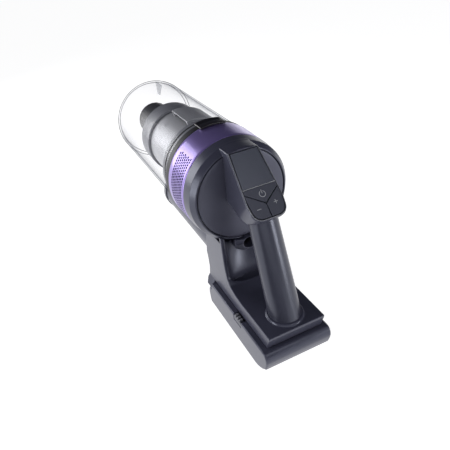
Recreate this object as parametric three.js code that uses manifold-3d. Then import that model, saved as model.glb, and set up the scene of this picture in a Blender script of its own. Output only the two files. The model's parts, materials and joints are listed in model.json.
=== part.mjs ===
// Hand-held unit of a cordless stick vacuum: clear dust bin with a cyclone, motor barrel with a
// perforated exhaust ring, control head, grip, front leg with an inlet tube, and a sliding battery.
// Millimetres, +Z up, +Y towards the bin. The barrel frame has its origin on the barrel's axis at
// the rear edge of the exhaust ring; the whole unit is then lifted onto the battery's flat foot.
import * as THREE from 'three';
import { mergeVertices } from 'three/addons/utils/BufferGeometryUtils.js';
import Module from 'manifold-3d';

const wasm = await Module();
wasm.setup();

// ---- driving dimensions -------------------------------------------------------------------
const GAP = 0.3; // clearance between neighbouring parts
const FINE = 36; // facets round the barrel
const MEDIUM = 24; // facets round mid-sized turned parts
const COARSE = 14; // facets round small turned parts

const FOOT_Z = -152.3; // battery underside below the barrel axis
const FOOT_Y = -40; // the origin's place on the battery's flat underside

const BIN_R = 53.9;
const BIN_WALL = 1.7;
const BIN_REAR_Y = 50.8;
const BIN_FRONT_Y = 255.8;
const BIN_EDGE_R = 3;

const RING_REAR_R = 55.2;
const RING_FRONT_R = 56;
const RING_FRONT_Y = 40.5;
const RING_BORE_R = 52.3;
const VENT_ROWS = 14; // slots on each side of the exhaust ring
const VENT_PITCH_DEG = 7;
const VENT_FIRST_DEG = 44; // first slot, measured from the top of the ring
const VENT_WIDTH = 2.4;
const VENT_REAR_Y = 4.8;
const VENT_FRONT_Y = 32.4;

const REAR_R = 54; // rear housing, at the start of its rounded shoulder
const DISC_R = 47.4; // rear cover
const DISC_Y = -19.2;

const COLLAR_R = 55.5; // black ring at the mouth of the bin
const COLLAR_REAR_Y = 41.2;
const COLLAR_FRONT_Y = 50.5;
const SPIGOT_Y = 57;

const CYCLONE_R = 38.7;
const CYCLONE_FRONT_Y = 154;
const SKIRT_R = 41.7;
const SKIRT_FRONT_Y = 183;
const BASE_R = 51.5;
const BASE_FRONT_Y = 72;
const DUST_TUBE_R = 23.5;
const DUST_TUBE_FRONT_Y = 252;

const TUBE_R = 26;
const TUBE_BORE_R = 23.4;
const TUBE_Z = -80.4;
const TUBE_FRONT_Y = 181;
const TUBE_REAR_Y = 8.5;

const PANEL_TOP_Y = -30; // control panel: its top edge, then a 45 degree slope down and back
const PANEL_TOP_Z = 53.6;
const PANEL_LENGTH = 70.6;
const PANEL_HALF_TOP = 15.9;
const PANEL_HALF_LOW = 19.2;
const PANEL_RIM = 1.7;
const POCKET_DEPTH = 7.5;
const SCREEN_END = 38.4;
const SPLIT_START = 43;
const SPLIT_MEET = 55.4;
const BUTTON_TOP = 0.1;
const BUTTON_THICK = 2.4;

const GRIP_TOP_Y = -61.8;
const GRIP_TOP_Z = -14.6;
const GRIP_LOW_Y = -90;
const GRIP_LOW_Z = -99.3;
const GRIP_TOP_R = 14.5;
const GRIP_LOW_R = 15.8;
const GRIP_WALL = 3;
const GRIP_SPLIT = 0.6; // front insert starts this far ahead of the grip's axis

const LEG_HALF = 31.1;
const PLATE_TOP_Z = -101.7;
const PLATE_LOW_Z = -118.6;
const PLATE_REAR_Y = -113.6;
const PLATE_LIP = 2.6; // the plate's rear face leans in below a lip
const PLATE_UNDERCUT = 6;
const TOE_HALF = 36.9;
const TOE_LOW_Z = -127;

const SOCKET_Z = -55.3;
const SOCKET_R = 6.2;
const SOCKET_TUBE_R = 7.4; // the charging socket's tube reaches into the rear housing
const BOSS_REAR_Y = -24;

const BATTERY_HALF = 37.2;
const BATTERY_TOP_Z = -119.6;
const BATTERY_WALL = 2.4;
const MOUTH_HALF = 29;
const RAIL_HALF = 13.6;
const RAIL_NECK_HALF = 9.6;
const RAIL_REAR_Y = -88;
const RAIL_FRONT_Y = 7.6;
const MOUTH_REAR_Y = -104;
const MOUTH_FRONT_Y = 9.4;
const CELL_R = 9.15;
const CELL_LENGTH = 65;
const CELL_PITCH = 19.4;
const CELL_COUNT = 6;
const CELL_FIRST_Y = -92;
const CELL_Z = -140.5;
const RELEASE_Y = -54.5; // middle of the battery's release buttons
const RELEASE_HALF_LENGTH = 8;

// ---- materials ----------------------------------------------------------------------------
const MATERIALS = {
  body_plastic: [0x43454f, 0.5, 0.0],
  purple_metal: [0x5b4596, 0.32, 0.6],
  black_gloss: [0x1c1a20, 0.15, 0.0],
  black_plastic: [0x25252b, 0.55, 0.0],
  clear_plastic: [0xe8ecef, 0.08, 0.0],
  silver_metal: [0xc4c6cb, 0.3, 0.7],
  grey_plastic: [0x84868e, 0.45, 0.0],
  dark_tube: [0x3c3c42, 0.5, 0.0],
  screen_glass: [0x3d424c, 0.12, 0.0],
  button_plastic: [0x43464f, 0.45, 0.0],
  board_green: [0x1f5a3a, 0.6, 0.0],
  rubber: [0x1b1b1d, 0.85, 0.0],
  foam: [0xd8d8d4, 0.95, 0.0],
  steel: [0x9a9da2, 0.35, 0.9],
  aluminium: [0xb8bbc0, 0.4, 0.8],
  copper: [0xb87333, 0.4, 0.9],
  cell_wrap: [0x2f6fb0, 0.5, 0.0],
  amber_plastic: [0xc8b98a, 0.6, 0.0],
};

// ---- helpers ------------------------------------------------------------------------------
const X_AXIS = new THREE.Vector3(1, 0, 0);
const Y_AXIS = new THREE.Vector3(0, 1, 0);
const Z_AXIS = new THREE.Vector3(0, 0, 1);

const unit = new THREE.Group();
unit.position.set(0, -FOOT_Y, -FOOT_Z);

function signedVolume(positions, index) {
  const corner = [0, 1, 2].map(() => new THREE.Vector3());
  let total = 0;
  for (let i = 0; i < index.length; i += 3) {
    corner.forEach((c, k) => c.fromArray(positions, 3 * index[i + k]));
    total += corner[0].dot(corner[1].clone().cross(corner[2]));
  }
  return total;
}

// Turns a closed three.js geometry into a manifold solid that faces outwards.
function solid(geometry) {
  const bare = geometry.clone();
  bare.deleteAttribute('normal');
  bare.deleteAttribute('uv');
  const merged = mergeVertices(bare, 1e-4);
  const vertProperties = new Float32Array(merged.attributes.position.array);
  const triVerts = new Uint32Array(merged.index.array);
  if (signedVolume(vertProperties, triVerts) < 0) {
    for (let i = 0; i < triVerts.length; i += 3) {
      [triVerts[i], triVerts[i + 1]] = [triVerts[i + 1], triVerts[i]];
    }
  }
  return new wasm.Manifold(new wasm.Mesh({ numProp: 3, vertProperties, triVerts }));
}

function node(name, shape, material) {
  const mesh = shape.getMesh();
  const geometry = new THREE.BufferGeometry();
  geometry.setAttribute('position', new THREE.BufferAttribute(mesh.vertProperties, 3));
  geometry.setIndex(new THREE.BufferAttribute(mesh.triVerts, 1));
  geometry.computeVertexNormals();
  const [color, roughness, metalness] = MATERIALS[material];
  const look = new THREE.MeshStandardMaterial({ color, roughness, metalness });
  const part = new THREE.Mesh(geometry, look);
  part.name = name;
  unit.add(part);
}

function block(x0, x1, y0, y1, z0, z1) {
  const box = new THREE.BoxGeometry(x1 - x0, y1 - y0, z1 - z0);
  box.translate((x0 + x1) / 2, (y0 + y1) / 2, (z0 + z1) / 2);
  return solid(box);
}

// A closed outline of [radius, y] pairs turned round the barrel axis.
function turned(outline, facets = FINE, z = 0) {
  const points = [...outline, outline[0]].map(([r, y]) => new THREE.Vector2(r, y));
  const lathe = new THREE.LatheGeometry(points, facets);
  lathe.translate(0, 0, z);
  return solid(lathe);
}

function ring(outer, inner, y0, y1, facets = FINE, z = 0) {
  return turned([[inner, y0], [outer, y0], [outer, y1], [inner, y1]], facets, z);
}

// A solid disc or rod along Y.
function disc(radius, y0, y1, facets = FINE, z = 0, x = 0) {
  const rod = new THREE.CylinderGeometry(radius, radius, y1 - y0, facets);
  rod.translate(x, (y0 + y1) / 2, z);
  return solid(rod);
}

function rodX(radius, x0, x1, y, z, facets = COARSE) {
  const rod = new THREE.CylinderGeometry(radius, radius, x1 - x0, facets);
  rod.rotateZ(Math.PI / 2);
  rod.translate((x0 + x1) / 2, y, z);
  return solid(rod);
}

function outlineShape(points) {
  return new THREE.Shape(points.map(([a, b]) => new THREE.Vector2(a, b)));
}

// A side outline of [y, z] pairs, drawn across from x0 to x1, with an optional rounded edge.
function sidePrism(points, x0, x1, edge = 0) {
  const settings = { depth: x1 - x0 - 2 * edge, bevelEnabled: edge > 0, curveSegments: 8 };
  Object.assign(settings, { bevelThickness: edge, bevelSize: edge, bevelOffset: -edge });
  settings.bevelSegments = 2;
  const prism = new THREE.ExtrudeGeometry(outlineShape(points), settings);
  prism.applyMatrix4(new THREE.Matrix4().makeBasis(Y_AXIS, Z_AXIS, X_AXIS));
  prism.translate(x0 + edge, 0, 0);
  return solid(prism);
}

// A front outline of [x, z] pairs, drawn from y0 to y1.
function frontPrism(points, y0, y1) {
  const settings = { depth: y1 - y0, bevelEnabled: false };
  const prism = new THREE.ExtrudeGeometry(outlineShape(points), settings);
  prism.applyMatrix4(new THREE.Matrix4().makeBasis(X_AXIS, Z_AXIS, new THREE.Vector3(0, -1, 0)));
  prism.translate(0, y1, 0);
  return solid(prism);
}

// The control panel's own frame: x to the right, then up the slope, then out of the panel.
const UP_SLOPE = new THREE.Vector3(0, 1, 1).normalize();
const OUT_OF_PANEL = new THREE.Vector3(0, -1, 1).normalize();
const PANEL_FRAME = new THREE.Matrix4()
  .makeBasis(X_AXIS, UP_SLOPE, OUT_OF_PANEL)
  .setPosition(0, PANEL_TOP_Y, PANEL_TOP_Z);

// An outline of [x, distance down the slope] pairs, from height low to height high.
function panelPrism(points, low, high) {
  const shape = outlineShape(points.map(([x, down]) => [x, -down]));
  const prism = new THREE.ExtrudeGeometry(shape, { depth: high - low, bevelEnabled: false });
  prism.translate(0, 0, low);
  prism.applyMatrix4(PANEL_FRAME);
  return solid(prism);
}

// Shears a geometry drawn round the Z axis so that it leans back as the grip's axis does.
const GRIP_LEAN = (GRIP_TOP_Y - GRIP_LOW_Y) / (GRIP_TOP_Z - GRIP_LOW_Z);
function leaned(geometry) {
  const shear = new THREE.Matrix4().makeShear(0, 0, 0, 0, 0, GRIP_LEAN);
  geometry.applyMatrix4(shear);
  geometry.translate(0, GRIP_TOP_Y - GRIP_LEAN * GRIP_TOP_Z, 0);
  return solid(geometry);
}

// A tapered tube on the grip's axis.
function grip(topRadius, lowRadius, topZ = GRIP_TOP_Z, lowZ = GRIP_LOW_Z) {
  const tube = new THREE.CylinderGeometry(topRadius, lowRadius, topZ - lowZ, MEDIUM);
  tube.rotateX(Math.PI / 2);
  tube.scale(1, Math.hypot(1, GRIP_LEAN), 1);
  tube.translate(0, 0, (topZ + lowZ) / 2);
  return leaned(tube);
}

function mirrored(points) {
  return points.map(([x, v]) => [-x, v]).reverse();
}

function arc(cx, cy, r, fromDeg, toDeg, steps) {
  const points = [];
  for (let i = 0; i <= steps; i += 1) {
    const angle = THREE.MathUtils.degToRad(fromDeg + ((toDeg - fromDeg) * i) / steps);
    points.push([cx + r * Math.cos(angle), cy + r * Math.sin(angle)]);
  }
  return points;
}

// ---- motor barrel -------------------------------------------------------------------------
// Slots stand for the rows of small square vent holes; they run along the barrel on both sides.
function ventCutters(radius, depth) {
  const cutters = [];
  for (let row = 0; row < VENT_ROWS; row += 1) {
    for (const side of [-1, 1]) {
      const slot = new THREE.BoxGeometry(VENT_WIDTH, VENT_FRONT_Y - VENT_REAR_Y, depth);
      slot.translate(0, (VENT_REAR_Y + VENT_FRONT_Y) / 2, radius);
      slot.rotateY(side * THREE.MathUtils.degToRad(VENT_FIRST_DEG + row * VENT_PITCH_DEG));
      cutters.push(solid(slot));
    }
  }
  return cutters;
}

const RING_REAR_Y = GAP;
const ringBody = turned([
  [RING_BORE_R, RING_REAR_Y],
  [RING_REAR_R - 0.5, RING_REAR_Y],
  [RING_REAR_R, RING_REAR_Y + 0.5],
  [RING_FRONT_R, RING_FRONT_Y - 0.5],
  [RING_FRONT_R - 0.5, RING_FRONT_Y],
  [RING_BORE_R, RING_FRONT_Y],
]);
const slots = ventCutters(RING_BORE_R + 2, 8);
node('exhaust_ring', wasm.Manifold.difference([ringBody, ...slots]), 'purple_metal');

const shellBody = turned([
  [22, 37.9],
  [49.5, 37.9],
  [49.5, 0.9],
  [RING_BORE_R - GAP, 0.9],
  [RING_BORE_R - GAP, 40.9],
  [22, 40.9],
]);
const SHELL_WINDOWS = [-120, -60, 60, 120];
const windows = SHELL_WINDOWS.map((deg) => {
  const window = new THREE.BoxGeometry(34, 24, 10);
  window.translate(0, 20.5, 51);
  window.rotateY(THREE.MathUtils.degToRad(deg));
  return solid(window);
});
node('motor_housing', wasm.Manifold.difference([shellBody, ...windows]), 'black_plastic');

const rearHousing = turned([
  [47.2, 5],
  [47.2, -13.6],
  [44, -13.6],
  [44, -16.1],
  [DISC_R + 0.5, -16.1],
  [DISC_R + 0.5, DISC_Y],
  [50, -18.4],
  [52.2, -16.1],
  [REAR_R, -12],
  [RING_REAR_R - 0.3, -4],
  [RING_REAR_R, 0],
  [49.2, 0],
  [49.2, 5],
]);
const socketNotch = disc(SOCKET_TUBE_R + 0.5, -30, -9, COARSE, SOCKET_Z);
node('rear_housing', rearHousing.subtract(socketNotch), 'body_plastic');

const REAR_COVER_HOLE_R = 6;
node('rear_cover', ring(DISC_R, REAR_COVER_HOLE_R, DISC_Y, -16.4), 'body_plastic');

// ---- motor and exhaust filter inside the barrel -------------------------------------------
node('exhaust_filter', ring(48.9, 43, 6, 35, MEDIUM), 'foam');
node('motor_mount', ring(31, 26.4, 31, 37.6, MEDIUM), 'rubber');
node(
  'impeller_shroud',
  turned([[26.1, 18], [26.1, 37.2], [13.5, 37.2], [13.5, 35.8], [24.7, 27], [24.7, 18]], MEDIUM),
  'black_plastic',
);
const bladeBlank = block(-0.6, 0.6, 22.5, 34, 3, 19);
const bladeEnvelope = turned([[2.5, 21], [22, 21], [22, 25.5], [12.5, 34.4], [2.5, 34.4]], COARSE);
const BLADES = 7;
const blades = [];
for (let i = 0; i < BLADES; i += 1) {
  blades.push(bladeBlank.rotate([0, (360 * i) / BLADES, 0]).intersect(bladeEnvelope));
}
const hub = turned([[2.9, 21], [20, 21], [20, 22.8], [6, 33.5], [2.9, 33.5]], COARSE);
node('impeller', wasm.Manifold.union([hub, ...blades]), 'aluminium');
node('diffuser', ring(26.1, 20.5, 12.4, 17.6, MEDIUM), 'black_plastic');
node('front_bracket', ring(20.1, 6.4, 12.4, 16, MEDIUM), 'aluminium');
node('front_bearing', ring(6.1, 2.85, 12.4, 16, COARSE), 'steel');
node('stator', ring(20, 9.5, -5, 11.9, MEDIUM), 'steel');
const rotorShaft = disc(2.5, -11, 34, COARSE);
node('rotor', rotorShaft.add(disc(9, -4.5, 11.4, COARSE)), 'steel');
node('rear_bearing', ring(6.1, 2.85, -9.6, -6, COARSE), 'steel');
node('rear_bracket', ring(20.1, 6.4, -9.6, -5.4, MEDIUM), 'aluminium');
const boardDisc = ring(42, 4, -12.2, -10.6, MEDIUM);
const capacitor = disc(5, -10.8, 3, COARSE, 0, 31);
const inductor = disc(4, -10.8, 0, COARSE, 0, -31);
node('motor_board', boardDisc.add(capacitor).add(inductor), 'board_green');

// ---- dust bin -----------------------------------------------------------------------------
const binShell = turned([
  [BIN_R - BIN_WALL, BIN_REAR_Y],
  [BIN_R, BIN_REAR_Y],
  [BIN_R, BIN_FRONT_Y - BIN_EDGE_R],
  [BIN_R - 0.9, BIN_FRONT_Y - 0.9],
  [BIN_R - BIN_EDGE_R, BIN_FRONT_Y],
  [0, BIN_FRONT_Y],
  [0, BIN_FRONT_Y - BIN_WALL],
  [BIN_R - BIN_EDGE_R - 0.6, BIN_FRONT_Y - BIN_WALL],
  [BIN_R - BIN_WALL, BIN_FRONT_Y - BIN_EDGE_R - 0.6],
]);
const RIB_X = 11;
const ribRoot = BIN_FRONT_Y - 1;
const binRib = sidePrism(
  [[ribRoot, 52.4], [ribRoot, 34], [ribRoot - 9, 34], [ribRoot - 34, 52.4]],
  RIB_X - 0.8,
  RIB_X + 0.8,
).intersect(disc(BIN_R - 0.5, 200, BIN_FRONT_Y - 0.5));
const PORT = [-9, 9, 76, 96];
const binPort = block(...PORT, -60, -45);
node('dust_bin', binShell.add(binRib).subtract(binPort), 'clear_plastic');

const LATCH_SPRING_Y = 46.5;
const springPocket = block(-2.4, 2.4, LATCH_SPRING_Y - 2.4, LATCH_SPRING_Y + 2.4, 51.4, 60);
const collarBody = turned([
  [49.4, COLLAR_REAR_Y],
  [51.2, COLLAR_REAR_Y],
  [51.2, 43.3],
  [54, 43.3],
  [54, COLLAR_REAR_Y],
  [COLLAR_R, COLLAR_REAR_Y],
  [COLLAR_R, COLLAR_FRONT_Y],
  [BIN_R - BIN_WALL - GAP, COLLAR_FRONT_Y],
  [BIN_R - BIN_WALL - GAP, SPIGOT_Y],
  [49.4, SPIGOT_Y],
]);
node('bin_collar', collarBody.subtract(springPocket), 'black_plastic');
node('bin_seal', ring(53.7, 51.5, COLLAR_REAR_Y + 0.1, 43), 'rubber');

// The latch is a curved rocker pad over the joint between the exhaust ring and the collar.
const LATCH_HALF = 14.5;
const LATCH_REAR_Y = 33;
const LATCH_FRONT_Y = 50.6;
const latchRing = turned([
  [56.5, LATCH_REAR_Y],
  [58, LATCH_REAR_Y],
  [58.9, LATCH_REAR_Y + 1.5],
  [58.9, LATCH_FRONT_Y - 1.2],
  [58, LATCH_FRONT_Y],
  [56.5, LATCH_FRONT_Y],
]);
const latchWindow = block(-LATCH_HALF, LATCH_HALF, 30, 60, 40, 70);
node('bin_latch', latchRing.intersect(latchWindow), 'black_gloss');

class Helix extends THREE.Curve {
  getPoint(t, target = new THREE.Vector3()) {
    const turns = 3 * t;
    const angle = 2 * Math.PI * turns;
    return target.set(1.6 * Math.cos(angle), LATCH_SPRING_Y + 1.6 * Math.sin(angle), 52 + 3 * t);
  }
}
const wire = outlineShape(arc(0, 0, 0.3, 0, 300, 5));
const coil = new THREE.ExtrudeGeometry(wire, { steps: 30, extrudePath: new Helix() });
node('latch_spring', solid(coil), 'steel');

// ---- cyclone ------------------------------------------------------------------------------
const cycloneBase = turned([
  [46.5, 44],
  [49, 44],
  [49, SPIGOT_Y + GAP],
  [BASE_R, SPIGOT_Y + GAP],
  [BASE_R, 62],
  [50, 62],
  [50, 65],
  [BASE_R, 65],
  [BASE_R, BASE_FRONT_Y - 1],
  [BASE_R - 1, BASE_FRONT_Y],
  [30, BASE_FRONT_Y],
  [30, 69],
  [46.5, 69],
]);
node('cyclone_base', cycloneBase, 'grey_plastic');
node('cyclone_seal', ring(51.7, 50.3, 62.3, 64.7), 'rubber');
node('premotor_filter', ring(46.1, 4, 48, 61, MEDIUM), 'foam');

// The scoop is a roof over a window in the cyclone body, open on its left side.
function wedge(fromDeg, toDeg, y0, y1) {
  const rim = [fromDeg, (fromDeg + toDeg) / 2, toDeg].map((deg) => {
    const angle = THREE.MathUtils.degToRad(deg);
    return [60 * Math.sin(angle), 60 * Math.cos(angle)];
  });
  return frontPrism([[0, 0], ...rim], y0, y1);
}
const SCOOP_REAR_Y = 90;
const SCOOP_FRONT_Y = 138;
const scoopRoof = ring(47, 39.1, SCOOP_REAR_Y, SCOOP_FRONT_Y).intersect(
  wedge(-11, 36, SCOOP_REAR_Y - 1, SCOOP_FRONT_Y + 1),
);
const scoopRoom = ring(45.6, 38, SCOOP_REAR_Y + 2, SCOOP_FRONT_Y - 2).intersect(
  wedge(-16, 32, SCOOP_REAR_Y - 1, SCOOP_FRONT_Y + 1),
);
node('inlet_scoop', scoopRoof.subtract(scoopRoom), 'grey_plastic');
const cycloneWindow = wedge(-6, 26, SCOOP_REAR_Y + 8, SCOOP_FRONT_Y - 6).subtract(
  disc(30, 80, 150, MEDIUM),
);
const cycloneShell = ring(CYCLONE_R, 37.2, BASE_FRONT_Y + GAP, CYCLONE_FRONT_Y);
node('cyclone_body', cycloneShell.subtract(cycloneWindow), 'silver_metal');
const skirtBody = turned([
  [38.9, CYCLONE_FRONT_Y + GAP],
  [SKIRT_R, CYCLONE_FRONT_Y + GAP],
  [SKIRT_R, SKIRT_FRONT_Y - 1.5],
  [SKIRT_R - 1.5, SKIRT_FRONT_Y],
  [24.1, SKIRT_FRONT_Y],
  [24.1, SKIRT_FRONT_Y - 2],
  [39.9, SKIRT_FRONT_Y - 2],
  [39.9, 156],
  [38.9, 156],
]);
node('cyclone_skirt', skirtBody, 'grey_plastic');
node('dust_tube', ring(DUST_TUBE_R, 21.9, 160, DUST_TUBE_FRONT_Y, MEDIUM), 'dark_tube');
node('tube_seal', ring(DUST_TUBE_R, 21.5, 252.3, 253.7, MEDIUM), 'rubber');
const CONES = 6;
const CONE_ORBIT = 24;
function coneRing(tipRadius, mouthRadius, y0, y1) {
  const cones = [];
  for (let i = 0; i < CONES; i += 1) {
    const cone = new THREE.CylinderGeometry(tipRadius, mouthRadius, y1 - y0, COARSE);
    cone.translate(0, (y0 + y1) / 2, CONE_ORBIT);
    cone.rotateY((2 * Math.PI * i) / CONES);
    cones.push(solid(cone));
  }
  return wasm.Manifold.union(cones);
}
const conePlate = disc(36.8, 76, 78.5, MEDIUM);
const coneShells = conePlate.add(coneRing(4.5, 10, 77, 144)).subtract(coneRing(3, 8.6, 75, 146));
node('cyclone_cones', coneShells, 'dark_tube');

// ---- inlet tube under the bin -------------------------------------------------------------
const tubeBody = ring(TUBE_R, TUBE_BORE_R, TUBE_REAR_Y, TUBE_FRONT_Y, MEDIUM, TUBE_Z);
const bulkhead = disc(TUBE_BORE_R + 1, 70, 73, MEDIUM, TUBE_Z);
const tubePort = block(...PORT, TUBE_Z + 10, TUBE_Z + 30);
const barrelSpace = disc(56.4, -19.9, 60, FINE).add(disc(49.5, -30, -19, FINE));
const openTube = tubeBody.add(bulkhead).subtract(tubePort);
const collarPath = disc(COLLAR_R + 0.5, COLLAR_REAR_Y, TUBE_FRONT_Y + 5); // the bin slides forward
node('inlet_tube', openTube.subtract(barrelSpace).subtract(collarPath), 'body_plastic');
const rimBody = ring(TUBE_R + 1.4, TUBE_R + GAP, 174, TUBE_FRONT_Y - 0.5, MEDIUM, TUBE_Z);
const aboveTube = block(-20, 20, 170, 190, TUBE_Z + TUBE_R, -40);
node('inlet_rim', rimBody.subtract(aboveTube), 'grey_plastic');
const contactBlock = block(-7, 7, 150, 172, TUBE_Z - 21.7, TUBE_Z - 17.8);
node('wand_contacts', contactBlock, 'black_plastic');

// ---- front leg, battery cradle and charging boss ------------------------------------------
const legOutline = [
  [-22.9, -36],
  [-23.1, -58],
  [-23.6, -74.6],
  [-27, -89.8],
  [-31.7, -95.6],
  [-45.4, -100.3],
  [-60, PLATE_TOP_Z],
  [PLATE_REAR_Y, PLATE_TOP_Z],
  [PLATE_REAR_Y + 0.3, PLATE_TOP_Z - PLATE_LIP],
  [PLATE_REAR_Y + PLATE_UNDERCUT, PLATE_LOW_Z],
  [28.5, PLATE_LOW_Z],
  [24.6, -104],
  [24.7, -93.3],
  [26.1, -82.7],
  [20.8, -61.7],
  [16, -50],
  [0, -36],
];
const legBlank = sidePrism(legOutline, -LEG_HALF, LEG_HALF);
const toeOutline = [[12.6, -117], [12.6, TOE_LOW_Z], [25, TOE_LOW_Z], [29, -121], [28, -117]];
const toeFlare = [
  [-LEG_HALF + 1, -117],
  [-LEG_HALF, -117],
  [-TOE_HALF, TOE_LOW_Z],
  [TOE_HALF, TOE_LOW_Z],
  [LEG_HALF, -117],
  [LEG_HALF - 1, -117],
];
const toe = sidePrism(toeOutline, -TOE_HALF, TOE_HALF).intersect(frontPrism(toeFlare, 10, 34));
const channel = new THREE.CylinderGeometry(1, 1, 70, MEDIUM);
channel.rotateX(Math.PI / 2);
channel.scale(26.5, 17, 1);
channel.translate(0, -25, -98 + 35);
const tubeSocket = disc(TUBE_R + GAP, TUBE_REAR_Y - GAP, 60, MEDIUM, TUBE_Z);
const boss = frontPrism(
  [[-15.7, -36], [-15.7, -56], ...arc(0, -42, 21.5, 222, 318, 8), [15.7, -56], [15.7, -36]],
  BOSS_REAR_Y,
  -6,
);
const socketHole = disc(SOCKET_R, BOSS_REAR_Y - 1, -9, COARSE, SOCKET_Z);
const railNeck = block(-RAIL_NECK_HALF, RAIL_NECK_HALF, RAIL_REAR_Y, RAIL_FRONT_Y, -122, -118);
const railHead = block(-RAIL_HALF, RAIL_HALF, RAIL_REAR_Y, RAIL_FRONT_Y, -124, -121.6);
const railPlatePocket = block(-6, 6, -10, 4, -125, -123.4);
const gripRing = grip(19, 19, -99.6, -103);
const wireHole = grip(7, 7, -95, -117);
const cradle = legBlank
  .add(toe)
  .subtract(solid(channel))
  .add(boss)
  .subtract(barrelSpace)
  .subtract(tubeSocket)
  .add(disc(SOCKET_TUBE_R, BOSS_REAR_Y, -9.6, COARSE, SOCKET_Z))
  .subtract(socketHole)
  .add(railNeck)
  .add(railHead)
  .add(gripRing)
  .subtract(railPlatePocket)
  .subtract(wireHole);
node('leg_and_cradle', cradle, 'body_plastic');
node('cradle_terminal', block(-5.7, 5.7, -9.7, 3.7, -124, -123.7), 'copper');

const socketBody = turned([
  [0, BOSS_REAR_Y + 9],
  [1, BOSS_REAR_Y + 9],
  [1, BOSS_REAR_Y + 11],
  [4.6, BOSS_REAR_Y + 11],
  [4.6, BOSS_REAR_Y + 8.6],
  [5.9, BOSS_REAR_Y + 8.6],
  [5.9, BOSS_REAR_Y + 13.7],
  [0, BOSS_REAR_Y + 13.7],
], COARSE, SOCKET_Z);
node('charging_socket', socketBody, 'black_plastic');

// ---- grip ---------------------------------------------------------------------------------
const gripShell = grip(GRIP_TOP_R, GRIP_LOW_R).subtract(
  grip(GRIP_TOP_R - GRIP_WALL, GRIP_LOW_R - GRIP_WALL, GRIP_TOP_Z + 1, GRIP_LOW_Z - 1),
);
const SLAB_DEPTH = 40;
function gripSlab(middleY) {
  const slab = new THREE.BoxGeometry(60, SLAB_DEPTH, 260);
  slab.translate(0, middleY, 0);
  return leaned(slab);
}
const frontSlab = gripSlab(GRIP_SPLIT + SLAB_DEPTH / 2);
const rearSlab = gripSlab(GRIP_SPLIT - GAP - SLAB_DEPTH / 2);
node('grip_front', gripShell.intersect(frontSlab), 'body_plastic');
node('grip_rear', gripShell.intersect(rearSlab), 'body_plastic');
node('power_leads', grip(2.6, 2.6, GRIP_TOP_Z - 1, -104), 'rubber');

// ---- control head -------------------------------------------------------------------------
const TIP_CENTRE = PANEL_LENGTH - PANEL_HALF_LOW - 0.4;
function panelOutline(inset, top) {
  const low = PANEL_HALF_LOW - inset;
  const tip = arc(0, TIP_CENTRE, low, 0, 180, 12);
  const half = PANEL_HALF_TOP - inset;
  const shoulders = top < 0 ? [[half, 0], ...tip, [-half, 0]] : tip;
  return [[-half, top], [half, top], ...shoulders];
}
const headOutline = [
  [-12.2, 54.4],
  [-29.2, 54.4],
  [-79.9, 3.7],
  [-80.6, 0],
  [-78.4, -5],
  [-77.2, -14],
  [-46.5, -14],
  [-19.5, -8],
  [-19.5, 30],
  [-12.2, 30],
];
const headBlank = sidePrism(headOutline, -20, 20)
  .intersect(panelPrism(panelOutline(0, -30), -80, 0))
  .intersect(disc(REAR_R, -100, 0));
const housingSpace = turned([
  [0, 10],
  [0, -19.6],
  [DISC_R + 0.9, -19.6],
  [50.4, -18.8],
  [52.7, -16.3],
  [54.4, -12.2],
  [58, -12.2],
  [58, 10],
]);
const pocket = panelPrism(panelOutline(PANEL_RIM, 2), -POCKET_DEPTH, 4);
const leadHole = block(-5, 5, -68, -56, -20, 14);
const headBody = headBlank.subtract(housingSpace).subtract(pocket).subtract(leadHole);
node('control_head', headBody, 'body_plastic');

const BOARD_TOP = -POCKET_DEPTH + 1.9;
const boardPlate = panelPrism(panelOutline(PANEL_RIM + 0.5, 2.6), 0.4 - POCKET_DEPTH, BOARD_TOP);
const SWITCH_TOP = -BUTTON_THICK - 2.2;
const BUTTON_CENTRES = { power: [0, 46.2], minus: [-8.6, 58.6], plus: [8.6, 58.6] };
const switches = Object.values(BUTTON_CENTRES).map(([x, down]) =>
  panelPrism(arc(x, down, 2.6, 0, 330, 11), BOARD_TOP - 0.4, SWITCH_TOP),
);
node('display_board', wasm.Manifold.union([boardPlate, ...switches]), 'board_green');

const lensHalfTop = PANEL_HALF_TOP - PANEL_RIM - GAP;
const lensHalfLow = lensHalfTop + 2.6;
const lensOutline = [
  [-lensHalfTop, 2.4],
  [lensHalfTop, 2.4],
  [lensHalfLow, SCREEN_END],
  [-lensHalfLow, SCREEN_END],
];
node('display_lens', panelPrism(lensOutline, -2.6, -0.1), 'screen_glass');

// Three keys meet at a Y-shaped split. Each has a stem over its switch on the board.
function key(name, outline) {
  const cap = panelPrism(outline, BUTTON_TOP - BUTTON_THICK, BUTTON_TOP);
  const [x, down] = BUTTON_CENTRES[name];
  const stem = panelPrism(arc(x, down, 1.8, 0, 330, 11), -BUTTON_THICK - 1.2, -1);
  node(`${name}_button`, cap.add(stem), 'button_plastic');
}
const keyHalf = PANEL_HALF_LOW - PANEL_RIM - GAP;
const powerTop = SCREEN_END + 0.5;
const powerHalf = lensHalfLow;
key('power', [
  [-powerHalf, powerTop],
  [powerHalf, powerTop],
  [powerHalf + 0.2, SPLIT_START - 0.4],
  [0, SPLIT_MEET - 0.4],
  [-powerHalf - 0.2, SPLIT_START - 0.4],
]);
const plusOutline = [
  [0.25, SPLIT_MEET + 0.3],
  [powerHalf + 0.3, SPLIT_START + 0.4],
  ...arc(0, TIP_CENTRE, keyHalf, 0, 89, 8),
];
key('plus', plusOutline);
key('minus', mirrored(plusOutline));

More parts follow.
